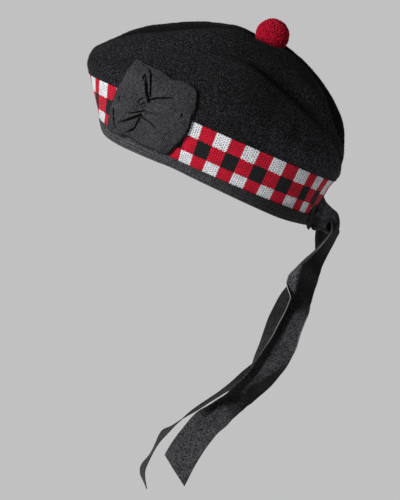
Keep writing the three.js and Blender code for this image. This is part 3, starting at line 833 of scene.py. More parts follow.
@dataclass
class Crown:
    """The wool crown: a hollow shell from the rim, behind the band, up and over to the crease."""

    wool: float = 2.2
    hidden: float = 2.0
    climbs: tuple[float, ...] = (1.6, 9.5, 27.6, 46.0)
    half_columns: int = 130
    rib_steps: tuple[int, ...] = (14, 16, 10, 18, 18, 16)
    inside_every: int = 3
    unevenness: tuple[tuple[float, float], ...] = ((60.0, 0.5), (19.0, 0.22), (6.0, 0.09))
    dents: tuple[Dent, ...] = (
        Dent(109.5, 0.25, 1.3, 3.5, 0.09),
        Dent(122.5, 0.24, 1.6, 3.5, 0.09),
        Dent(136.0, 0.19, 1.6, 4.0, 0.09),
        Dent(99.0, 0.85, 6.0, 5.6, 0.07),
        Dent(-99.0, 0.85, 6.0, 5.6, 0.07),
        Dent(103.0, 0.85, 2.6, 3.0, 0.07),
    )
    fibres: int = 22000
    fibre_length: tuple[float, float] = (0.5, 1.3)
    fibre_width: float = 0.16
    fibre_bend: tuple[float, float] = (0.3, 1.3)
    fibre_root: float = 0.2
    seed: int = 11
    # Painted light and shade of the outer face: darker in the crease, the recess and the upper back panel,
    # darker round the sides and lighter at the back.
    crease_dark: float = 0.6
    recess_dark: float = 0.45
    panel_dark: float = 0.38
    inside_shade: float = 0.7
    round_painted_light: tuple[tuple[float, float], ...] = (
        (0, 1.0), (75, 1.0), (90, 0.78), (98, 0.68), (108, 0.68), (117, 1.0), (127, 1.3), (137, 1.8),
        (180, 1.8))
    calm: float = 0.08
    crease_from: tuple[float, float] = (0.855, 0.9)
    recess_at: tuple[float, float] = (0.465, 0.03)
    recess_round: tuple[float, float] = (70.0, 95.0)
    panel_from: tuple[float, float] = (0.44, 0.53)
    panel_round: tuple[float, float] = (72.0, 112.0)

    def shares(self) -> Array:
        """Gives the shares of the way up a section where its rows lie."""
        knots = FORM.rib_knots
        parts = [np.linspace(a, b, n, endpoint=False) for a, b, n in zip(knots, knots[1:], self.rib_steps)]
        return np.concatenate([*parts, [1.0]])

    def outer(self) -> Array:
        """Gives the ring of columns of the outer face, uneven as felted cloth is."""
        angles = np.linspace(0.0, np.pi, self.half_columns + 1)
        shares = self.shares()
        left = FORM.crown(angles, shares, 0.0)
        right = FORM.crown(angles, shares, 1.0)
        points = np.concatenate([left, right[-2:0:-1]])
        degrees = np.degrees(np.concatenate([angles, -angles[-2:0:-1]]))[:, None]
        rise = sum(size * ripple(points, wave, seed) for seed, (wave, size) in enumerate(self.unevenness))
        rise = rise * smooth(shares, 0.0, self.calm)
        for dent in self.dents:
            round_cap = (degrees - dent.at) / dent.reach_round
            upward = (shares - dent.share) / dent.reach_up
            rise = rise - dent.depth * np.exp(-(round_cap**2) - upward**2)
        return points + ring_normals(points) * rise[..., None]

    def painted_shade(self) -> Array:
        """Gives the painted light and shade of the outer face, by columns and rows.

        It is darker in the crease, in the recess above the side fold, and on the upper panel at the back,
        where shade falls. Round the sides it is darker, and at the back lighter.
        """
        angles = np.linspace(0.0, 180.0, self.half_columns + 1)
        degrees = np.concatenate([angles, angles[-2:0:-1]])[:, None]
        shares = self.shares()
        crease = smooth(shares, *self.crease_from)
        middle, reach = self.recess_at
        recess = np.exp(-(((shares - middle) / reach) ** 2)) * smooth(degrees, *self.recess_round)
        panel = smooth(shares, *self.panel_from) * smooth(degrees, *self.panel_round)
        shade = (1.0 - self.crease_dark * crease) * (1.0 - self.panel_dark * panel)
        shade = shade * look_up(self.round_painted_light, degrees)
        return shade * (1.0 - self.recess_dark * recess)

    def build(self) -> Thing:
        """Makes the shell: the outer face, the wall behind the band, and the inside."""
        crown = self.outer()
        normals = ring_normals(crown)
        turn = np.linspace(0.0, FULL_TURN, len(crown), endpoint=False)[:, None]
        climbs = np.array(self.climbs)
        outside = np.concatenate([FORM.wall(turn, climbs, -self.hidden), crown], axis=1)
        last = crown.shape[1] - 1
        picked = np.unique(np.r_[0:last:self.inside_every, last])
        lining = (crown - normals * self.wool)[:, picked]
        inside = np.concatenate([FORM.wall(turn, climbs, -self.hidden - self.wool), lining], axis=1)
        foot = np.stack([inside[:, 0], outside[:, 0]], axis=1)
        # The wall behind the band and the inside are evenly darkened with painted shade; the outer face
        # carries its painted light and shade.
        plain = np.full((len(crown), len(climbs)), self.inside_shade)
        shade = np.concatenate([plain, self.painted_shade()], axis=1)
        cloth = Patchwork()
        cloth.add(FORM.tipped(closed(outside)), shade=closed(shade))
        for part in (inside[:, ::-1], foot):
            cloth.add(FORM.tipped(closed(part)), shade=self.inside_shade)
        return settle(cloth.make("wool_crown"), MilledWool().material(), "wool", "crown")

    def build_nap(self) -> Thing:
        """Makes the loose fibre ends: bent spindles, three-sided, that stand out of the wool at random."""
        crown = self.outer()
        normals = ring_normals(crown)
        random = np.random.default_rng(self.seed)
        sides = np.linalg.norm(np.cross(
            np.roll(crown, -1, axis=0)[:, :-1] - crown[:, :-1], crown[:, 1:] - crown[:, :-1]), axis=-1)
        chance = sides.ravel() / sides.sum()
        picked = random.choice(chance.size, self.fibres, p=chance)
        column, row = np.unravel_index(picked, sides.shape)
        across = random.uniform(size=(2, self.fibres, 1))
        after = (column + 1) % len(crown)
        low = crown[column, row] * (1 - across[0]) + crown[after, row] * across[0]
        high = crown[column, row + 1] * (1 - across[0]) + crown[after, row + 1] * across[0]
        root = low * (1 - across[1]) + high * across[1]
        out = normals[column, row]
        lean = unit(np.cross(out, random.normal(size=out.shape)))
        length = random.uniform(*self.fibre_length, size=(self.fibres, 1))
        steps = np.array([0.0, 0.5, 1.0])[None, :, None]
        bend = random.uniform(*self.fibre_bend, size=(self.fibres, 1, 1))
        middle = root[:, None] + length[:, None] * (steps * out[:, None] + bend * steps**2 * lean[:, None])
        middle = middle - self.fibre_root * out[:, None]
        turn = np.linspace(0.0, FULL_TURN, 4)[None, None, :, None]
        side = np.cross(out, lean)[:, None, None]
        around = np.cos(turn) * lean[:, None, None] + np.sin(turn) * side
        taper = 0.5 * self.fibre_width * np.array([0.0, 1.0, 0.0])[None, :, None, None]
        spindles = middle[:, :, None] + taper * around
        cloth = Patchwork()
        cloth.add(FORM.tipped(spindles[:, :, ::-1]), shade=self.painted_shade()[column, row][:, None, None])
        nap = MilledWool(name="wool_fibre_ends", dark="#141416", middle="#252527", light="#3c3c3f")
        return settle(cloth.make("wool_nap"), nap.material(), "wool")


@dataclass
class DicedBand:
    """The knitted band: three rows of squares round the wall between the binding and the crown."""

    thick: float = 1.4
    low: float = 1.6
    columns: int = 50
    steps: int = 12
    edges: tuple[tuple[float, int], ...] = (
        (19.0, 1), (24.3, 2), (32.7, 3), (39.5, 4), (84.6, 11), (118.1, 16), (140.6, 19), (159.5, 22))
    row_climbs: tuple[float, ...] = (9.5, 19.6, 33.4, 45.7)
    seam_slant: float = np.radians(23.5)
    seam_reach: float = np.radians(70.0)
    seam_flat: float = np.radians(2.0)
    seam_power: float = 1.5
    rows_up: int = 44
    pillow: float = 0.14

    def column_of(self, angle: Array, climb: Array) -> Array:
        """Counts the squares round the cap, from the front by the wearer's left.

        A few edges between squares are given by their angle at the band's top edge. The others share out
        the length between them. Below it the columns slant towards the front seam, which cuts them.

        Args:
            angle: Angle round the cap.
            climb: Height up the cloth from the rim.

        Returns:
            The number of columns passed, in the shape that the two make together.
        """
        low, top = self.row_climbs[0], self.row_climbs[-1]
        drop = np.clip((top - climb) / (top - low), 0.0, 1.0)
        near = np.maximum(1.0 - from_front(angle) / self.seam_reach, 0.0)
        slant = self.seam_slant * near**self.seam_power * drop
        angle = angle + np.where(angle > np.pi, -slant, slant)
        share, _ = shares_along(FORM.wall(FINE_TURN, FORM.top.height))
        degrees, number = np.array(self.edges).T
        run = np.interp(np.radians(degrees), FINE_TURN, share)
        run = np.concatenate([run[-1:] - 1.0, run, run[:1] + 1.0])
        number = np.concatenate([number[-1:] - self.columns, number, number[:1] + self.columns])
        return np.interp(np.interp(angle, FINE_TURN, share), run, number)

    def build(self) -> Thing:
        """Makes the band as a closed ring: the outer face, the edges and the inner face."""
        angle = np.linspace(0.0, FULL_TURN, self.columns * self.steps + 1)[:, None]
        up = np.linspace(self.low, FORM.top.height, self.rows_up)
        climb = np.concatenate([up, up[::-self.rows_up + 1], up[:1]])
        offset = np.concatenate([np.zeros(self.rows_up), [-self.thick, -self.thick, 0.0]])
        row = np.interp(climb, self.row_climbs, range(len(self.row_climbs)))
        column = self.column_of(angle, climb)
        puff = np.abs(np.sin(np.pi * column) * np.sin(np.pi * row)) ** 0.5
        puff = puff * smooth(from_front(angle), 0.0, self.seam_flat)
        points = FORM.wall(angle, climb, offset + self.pillow * (puff - 0.5) * (offset == 0.0))
        coords = np.stack(np.broadcast_arrays(column, row), axis=-1)
        cloth = Patchwork()
        cloth.add(FORM.tipped(points), coords)
        return settle(cloth.make("knitted_band"), KnittedDice().material(), "dice", "diced_band")


@dataclass
class EdgeBinding:
    """The tape folded over the lower edge, with a row of stitches along it."""

    thick: float = 1.0
    columns: int = 300
    profile_steps: int = 44
    pucker: float = 0.08
    pucker_waves: tuple[float, float, float] = (61.0, 2.0, 7.0)
    pucker_from: tuple[float, float] = (-1.0, 1.0)
    path: tuple[tuple[float, float], ...] = (
        (-5.0, 8.0), (-5.1, 4.6), (-4.95, 1.7), (-4.2, 0.6), (-2.4, 0.45), (-0.9, 0.7), (0.2, 1.6),
        (0.85, 3.0), (1.05, 5.2), (0.9, 7.2), (0.8, 9.5))
    drops: tuple[tuple[float, float], ...] = (
        (0, 2.6), (30, 2.6), (50, 1.3), (65, 0.1), (76, -1.0), (88, -0.5), (103, 0.3), (120, 1.6),
        (136, 2.6), (154, 1.8), (180, 1.8))
    # Painted light and shade: the tape is lighter at the front and darker towards the back.
    painted_light: tuple[tuple[float, float], ...] = (
        (0, 1.15), (80, 1.12), (92, 1.0), (102, 0.78), (112, 0.55), (126, 0.42), (180, 0.42))
    stitch_pitch: float = 3.4
    stitch: tuple[float, float, float] = (1.15, 0.3, 0.22)
    stitch_climb: float = 7.7
    stitch_offset: float = 1.42
    stitch_probe: float = 0.01
    bead_steps: tuple[int, int] = (9, 7)

    def climb(self, angle: Array, climb: Array) -> Array:
        """Gives heights up the cloth with the lower edge dropped, as it sags at the front and at the back.

        Args:
            angle: Angle round the cap.
            climb: Height before the drop.

        Returns:
            The height, in the shape that the two make together; the tape's top edge stays.
        """
        degrees, drop = np.array(self.drops, float).T
        down = spline_weights(degrees, np.degrees(from_front(angle))) @ drop
        return climb - down * np.clip(1.0 - climb / self.path[-1][1], 0.0, 1.0)

    def build(self) -> Thing:
        """Makes the tape: a folded profile of even thickness carried round the rim."""
        corners = np.array(self.path)
        shares, length = shares_along(corners)
        place = np.linspace(0.0, 1.0, self.profile_steps)
        middle = spline_weights(shares, place) @ corners
        run = unit(np.gradient(middle, axis=0))
        aside = np.stack([run[:, 1], -run[:, 0]], axis=-1) * 0.5 * self.thick
        loop = np.concatenate([middle + aside, (middle - aside)[::-1], (middle + aside)[:1]])
        along = np.concatenate([place, place[::-1], place[:1]]) * length
        angle = np.linspace(0.0, FULL_TURN, self.columns + 1)[:, None]
        _, rim_length = shares_along(FORM.wall(angle[:, 0], 0.0))
        often, sway, slow = self.pucker_waves
        waves = self.pucker * np.sin(often * angle + sway * np.sin(slow * angle))
        offset = loop[:, 0] + waves * smooth(loop[:, 0], *self.pucker_from)
        points = FORM.wall(angle, self.climb(angle, loop[:, 1]), offset)
        around = angle / FULL_TURN * rim_length
        coords = np.stack(np.broadcast_arrays(around, along), axis=-1) * MM
        # Painted light and shade by angle round the cap.
        shade = np.broadcast_to(look_up(self.painted_light, np.degrees(from_front(angle))), points.shape[:2])
        cloth = Patchwork()
        cloth.add(FORM.tipped(points), coords, shade)
        tape = RibbedRibbon(
            name="black_woven_tape", pitch=2.3, run=RibRun.ACROSS, contrast=0.11, speck=0.25,
            dark="#1a1a1c", light="#48484b")
        return settle(cloth.make("tape_binding"), tape.material(), "tape", "edge_binding")

    def build_stitches(self) -> Thing:
        """Makes the running stitch: small rounded beads of thread laid end to end along the tape."""
        share, length = shares_along(FORM.wall(FINE_TURN, self.stitch_climb, self.stitch_offset))
        count = int(length / self.stitch_pitch)
        places = (np.arange(count) + 0.5) / count
        angle = np.interp(places, share, FINE_TURN)
        middle = FORM.wall(angle, self.stitch_climb, self.stitch_offset)
        ahead = FORM.wall(angle + self.stitch_probe, self.stitch_climb, self.stitch_offset) - middle
        upward = FORM.wall(angle, self.stitch_climb + 1.0, self.stitch_offset) - middle
        run = unit(ahead)
        out = unit(np.cross(run, upward))
        rise = np.cross(out, run)
        ball = ball_grid(*self.bead_steps) * np.array(self.stitch)
        basis = np.stack([run, rise, out], axis=1)
        beads = middle[:, None, None] + np.einsum("abk,nkc->nabc", ball, basis)
        cloth = Patchwork()
        cloth.add(FORM.tipped(beads))
        thread = RibbedRibbon(name="black_sewing_thread", pitch=0.6, dark="#101011", light="#28282a")
        return settle(cloth.make("binding_stitches"), thread.material(), "tape")


@dataclass(frozen=True)
class Fold:
    """A fold of the gathered ribbon: its line, and how deep, how wide and how stepped it is.

    ledge lifts the cloth on the left of the line, and fades over reach; fade is the share of the depth that
    is lost towards the line's end.
    """

    line: tuple[tuple[float, float], ...]
    depth: float
    width: float
    ledge: float = 0.0
    reach: float = 7.0
    fade: float = 0.75


@dataclass
class Cockade:
    """The ribbon gathered into a squarish cockade on the wearer's left front.

    Places on it are millimetres back and up from its middle, along the face of the cap.
    """

    at: float = np.radians(57.5)
    climb: float = 39.5
    backing: float = 1.1
    edge: float = 1.6
    puff: float = 4.2
    puff_skew: float = 0.8
    stand_rise: float = 8.0
    stand_at: float = 36.0
    probe: float = 4.0
    rings: int = 121
    back_every: int = 10
    foot: float = 0.95
    # Shares of painted shade: at the turned edge, deep in the folds, and along the lower edge.
    rim_dark: float = 0.6
    fold_dark: float = 0.55
    low_dark: float = 0.75
    spokes: int = 480
    rib_turn: float = np.radians(69.0)
    outline: tuple[tuple[float, float], ...] = (
        (12, 43.3), (25, 45.8), (35, 48.2), (40, 49), (45, 47.1), (52, 42.6), (59, 37), (74, 35.6),
        (89, 35.7), (102, 36.8), (113, 40.1), (121, 33.3), (133, 27.5), (152, 26.7), (174, 28.2),
        (188, 32.3), (200, 37.6), (209, 42.6), (215, 45.8), (221, 44), (230, 36.5), (248, 31.7),
        (272, 30.8), (294, 32.7), (314, 40.9), (328, 40.3), (346, 41.6), (359, 42.7))
    folds: tuple[Fold, ...] = (
        Fold(((6.0, 8.0), (3.9, 14.7), (2.1, 20.3), (0.0, 24.9)), 5.2, 0.95, 0.5),
        Fold(((0.0, 24.9), (-1.4, 25.7), (-1.8, 23.9), (-1.2, 21.2)), 2.4, 0.55),
        Fold(((7.1, 13.5), (5.2, 21.9), (2.1, 28.3), (-1.0, 31.4), (-4.8, 33.1), (-8.3, 33.9)),
             2.6, 0.5, 1.2, 7.0, 0.1),
        Fold(((5.6, 9.5), (12.0, 14.0), (18.3, 16.8), (24.5, 19.0)), 4.4, 0.75, 0.9),
        Fold(((0.9, 9.7), (-2.3, 6.6), (-3.3, 4.4), (-1.8, 2.5), (0.8, 1.3)), 2.6, 0.5, 0.9, 3.0),
        Fold(((-0.1, 4.0), (2.0, 5.6), (4.0, 6.2)), 2.2, 0.45, 0.5, 3.0),
        Fold(((-0.9, -5.2), (-10.5, -10.9), (-18.4, -15.0), (-25.2, -18.3)), 5.0, 0.85, 0.6),
        Fold(((2.7, -0.6), (-6.6, -5.1), (-16.4, -8.1)), 3.0, 0.5, 0.4),
        Fold(((-2.0, -8.2), (-4.6, -13.9), (-7.5, -18.0), (-13.4, -21.9), (-20.9, -25.9)), 4.0, 0.65, 0.8),
        Fold(((-0.1, -6.4), (4.2, -7.1), (8.7, -7.6), (11.5, -8.7), (14.1, -10.6)), 4.0, 0.65, 0.7),
        Fold(((3.1, -1.7), (13.5, 0.9), (20.1, 2.3)), 1.4, 0.9, 0.3),
        Fold(((33.6, 8.6), (34.6, 5.2)), 1.6, 0.7),
        Fold(((-29.8, -7.5), (-30.3, -14.3), (-30.5, -20.2), (-29.0, -25.0)), 2.4, 0.5, -0.8),
        Fold(((-23.2, 3.0), (-22.7, -1.7)), 1.5, 0.6),
    )
    fade_from: float = 0.55
    ledge_ends: tuple[float, float] = (0.15, 0.8)
    full_cut: float = 2.0
    lowest: float = 0.7
    pinch: tuple[float, float] = (1.0, 5.0)
    pinch_rise: float = 2.2
    pinch_spread: float = 16.0
    unevenness: tuple[tuple[float, float, int], ...] = ((13.0, 0.22, 21), (5.0, 0.1, 22))
    flat_rim: float = 0.93
    rim_from: tuple[float, float] = (0.965, 0.99)
    low_from: tuple[float, float] = (0.94, 0.965)
    low_starts: tuple[float, float] = (222.0, 234.0)
    low_ends: tuple[float, float] = (312.0, 300.0)
    ring_power: float = 0.9
    tuck_at: float = -17.0
    tuck_reach: tuple[float, float] = (42.0, 30.0)
    tuck_in: float = 1.7
    under_turn: tuple[float, float] = (-62.0, 22.0)
    under_steps: int = 120
    under_shares: tuple[float, ...] = (0.6, 0.75, 0.9, 1.0)
    under_inset: float = 0.3
    under_heights: tuple[float, float] = (0.95, 0.25)

    def pace(self) -> float:
        """Gives the millimetres of cloth to a radian round the cap at the cockade's middle."""
        swing = self.probe / FORM.top.half_length
        ends = FORM.bed(np.array([self.at, self.at + swing]), np.full(2, self.climb))
        return float(np.linalg.norm(ends[1] - ends[0]) / swing)

    def points(self, back: Array, up: Array, height: Array) -> Array:
        """Points over the face of the cap.

        Args:
            back: Distance back from the middle.
            up: Distance up from the middle.
            height: Distance out of the cap's face; towards the front the stiff ribbon stands off further.

        Returns:
            The points, upright.
        """
        pace = self.pace()
        bed = [
            FORM.bed(self.at + (back + b * self.probe) / pace, self.climb + up + u * self.probe)
            for b, u in ((0, 0), (1, 0), (-1, 0), (0, 1), (0, -1))]
        out = unit(np.cross(bed[1] - bed[2], bed[3] - bed[4]))
        stand = self.stand_rise * (np.minimum(back, 0.0) / self.stand_at) ** 2
        return bed[0] + out * (height + stand)[..., None]

    def reach(self, degrees: Array) -> Array:
        """Gives the reach of the outline at angles from straight back, turning up."""
        rows = np.array(self.outline)
        ring = np.concatenate([rows[-1:] - (360, 0), rows, rows[:1] + (360, 0)])
        turned = np.where(degrees < rows[0, 0], degrees + 360.0, degrees)
        return spline_weights(ring[:, 0], turned) @ ring[:, 1]

    def height(self, back: Array, up: Array, share: Array) -> tuple[Array, Array]:
        """Height of the gathered ribbon: puffed towards the outside, cut and stepped along its folds.

        Args:
            back: Distance back from the middle.
            up: Distance up from the middle.
            share: Share of the way from the middle to the outline.

        Returns:
            Heights over the backing, and the painted shade of the ribbon: darker in its folds and at its
            turned edge, most at the lower edge.
        """
        places = np.stack([back, up], axis=-1)
        height = self.edge + self.puff * np.sin(np.pi * share**self.puff_skew)
        from_pinch = ((places - self.pinch) ** 2).sum(-1)
        height = height + self.pinch_rise * np.exp(-from_pinch / self.pinch_spread)
        rim = smooth(share, 1.0, self.flat_rim)
        cut = np.zeros_like(height)
        for fold in self.folds:
            away, run, side = nearest_on_line(places, np.array(fold.line))
            fade = 1.0 - smooth(run, self.fade_from, 1.0) * fold.fade
            cut = np.maximum(cut, fold.depth * fade * np.exp(-((away / fold.width) ** 3)))
            left = 0.5 + 0.5 * side * (1.0 - np.exp(-((away / fold.width) ** 2)))
            inside = smooth(run, 0.0, self.ledge_ends[0]) * smooth(run, 1.0, self.ledge_ends[1])
            height = height + fold.ledge * left * inside * np.exp(-away / fold.reach)
        for wave, size, seed in self.unevenness:
            height = height + size * ripple(places, wave, seed)
        # Painted shade: darker deep in the folds, along the turned edge, and most along the lower edge.
        shade = 1.0 - self.fold_dark * np.clip(cut, 0.0, self.full_cut) / self.full_cut
        heading = np.degrees(np.arctan2(up, back)) % 360.0
        below = smooth(heading, *self.low_starts) * smooth(heading, *self.low_ends)
        shade = shade * (1.0 - self.rim_dark * smooth(share, *self.rim_from))
        shade = shade * (1.0 - self.low_dark * below * smooth(share, *self.low_from))
        return np.maximum(height - cut * rim, self.lowest), shade

    def cloth_coords(self, back: Array, up: Array) -> Array:
        """Turns places into cloth coordinates, across and along the ribs, in metres."""
        cosine, sine = np.cos(self.rib_turn), np.sin(self.rib_turn)
        return np.stack([back * sine - up * cosine, back * cosine + up * sine], axis=-1) * MM

    def spread(self, degrees: Array, share: Array, inset: Array | float) -> tuple[Array, Array]:
        """Gives how far back and up places lie, at angles and shares of the outline drawn in by inset."""
        reach = self.reach(degrees % 360.0) - inset
        turn = np.radians(degrees)
        return share * reach * np.cos(turn), share * reach * np.sin(turn)

    def build(self) -> Thing:
        """Makes the gathered ribbon as a closed piece: its face, its edge and its back."""
        degrees = np.linspace(0.0, 360.0, self.spokes + 1)[:, None]
        share = np.linspace(0.0, 1.0, self.rings)[None, :] ** self.ring_power
        from_tuck = np.abs((degrees - self.tuck_at + 180.0) % 360.0 - 180.0)
        back, up = self.spread(degrees, share, self.tuck_in * smooth(from_tuck, *self.tuck_reach))
        height, shade = self.height(back, up, np.broadcast_to(share, back.shape))
        face = self.points(back, up, self.backing + height)
        coords = self.cloth_coords(back, up)
        low = coords[:, ::self.back_every]
        behind = self.points(
            self.foot * back[:, ::self.back_every], self.foot * up[:, ::self.back_every],
            np.full(low.shape[:2], self.backing))
        edge = np.stack([face[:, -1], behind[:, -1]], axis=1)
        cloth = Patchwork()
        cloth.add(FORM.tipped(face[::-1]), coords[::-1], shade[::-1])
        # The edge and the back carry the painted shade of the turned edge.
        cloth.add(FORM.tipped(edge[::-1]), np.repeat(coords[::-1, -1:], 2, axis=1), 1.0 - self.rim_dark)
        cloth.add(FORM.tipped(behind[::-1, ::-1]), low[::-1, ::-1], 1.0 - self.rim_dark)
        ribbon = RibbedRibbon(
            name="black_cockade_ribbon", pitch=1.5, run=RibRun.ALONG, contrast=0.11, speck=0.3,
            dark="#1c1c1e", light="#424245")
        return settle(cloth.make("ribbon_cockade"), ribbon.material(), "ribbon", "cockade")

    def build_under(self) -> Thing:
        """Makes the lower turn of the ribbon, which shows as a narrow strip beyond the upper one."""
        degrees = np.linspace(*self.under_turn, self.under_steps)[:, None]
        back, up = self.spread(degrees, np.array(self.under_shares)[None, :], self.under_inset)
        top, low = (self.points(back, up, np.full(back.shape, height)) for height in self.under_heights)
        coords = self.cloth_coords(back, up)
        profile = np.concatenate([top, low[:, ::-1], top[:, :1]], axis=1)
        flat = np.concatenate([coords, coords[:, ::-1], coords[:, :1]], axis=1)
        cloth = Patchwork()
        cloth.add(FORM.tipped(profile[::-1]), flat[::-1])
        for end in (0, -1):
            lid = np.stack([top[end], low[end]], axis=1 if end else 0)
            cloth.add(FORM.tipped(lid))
        # The same ribbon in darker colours: painted shade under the upper turn.
        ribbon = RibbedRibbon(
            name="black_cockade_under", pitch=1.5, run=RibRun.ALONG, dark="#101011", light="#28282a")
        return settle(cloth.make("cockade_under"), ribbon.material(), "ribbon")


@dataclass
class Toorie:
    """The wool ball in the crease: a round head covered in short curls of yarn."""

    centre: tuple[float, float, float] = (0.0, 4.1, 139.3)
    head: float = 13.7
    curls: int = 2300
    yarn: float = 0.5
    stand: tuple[float, float] = (0.8, 1.4)
    half_span: tuple[float, float] = (0.6, 1.2)
    sides: int = 5
    steps: int = 7
    seed: int = 5
    untidy: float = 0.06
    sunk: float = 0.9
    arch: float = 1.6
    taper: float = 0.35
    head_steps: tuple[int, int] = (49, 25)

    def build(self) -> Thing:
        """Makes the head and its curls, each a tube along a small arch that twists to one side."""
        random = np.random.default_rng(self.seed)
        number = np.arange(self.curls)
        height = 1.0 - (2.0 * number + 1.0) / self.curls
        turned = number * np.pi * (3.0 - np.sqrt(5.0))
        ring = np.sqrt(1.0 - height**2)
        out = np.stack([ring * np.cos(turned), ring * np.sin(turned), height], axis=-1)
        out = unit(out + self.untidy * random.normal(size=out.shape))
        lean = unit(np.cross(out, random.normal(size=out.shape)))
        aside = np.cross(out, lean)
        span = random.uniform(*self.half_span, size=(self.curls, 1, 1))
        stand = random.uniform(*self.stand, size=(self.curls, 1, 1))
        twist = random.uniform(-1.0, 1.0, size=(self.curls, 1, 1))
        s = np.linspace(0.0, 1.0, self.steps)[None, :, None]
        rise = stand * self.arch * np.sin(np.pi * s)
        path = (self.head - self.sunk) * out[:, None] + rise * out[:, None]
        path = path - span * np.cos(np.pi * s) * lean[:, None]
        path = path + twist * np.sin(FULL_TURN * s) * aside[:, None]
        run = unit(np.gradient(path, axis=1))
        first = unit(np.cross(run, aside[:, None]))
        second = np.cross(run, first)
        turn = np.linspace(0.0, FULL_TURN, self.sides + 1)
        thick = self.yarn * np.sin(np.pi * np.linspace(0.0, 1.0, self.steps)) ** self.taper
        thick[[0, -1]] = 0.0
        around = np.cos(turn)[:, None] * first[:, :, None] + np.sin(turn)[:, None] * second[:, :, None]
        curls = path[:, :, None] + thick[None, :, None, None] * around
        head = self.head * ball_grid(*self.head_steps)[..., (1, 2, 0)]
        cloth = Patchwork()
        centre = np.array(self.centre)
        cloth.add(FORM.tipped(centre + head))
        cloth.add(FORM.tipped(centre + curls[:, :, ::-1]))
        return settle(cloth.make("wool_ball"), CurledWool().material(), "ball", "toorie")


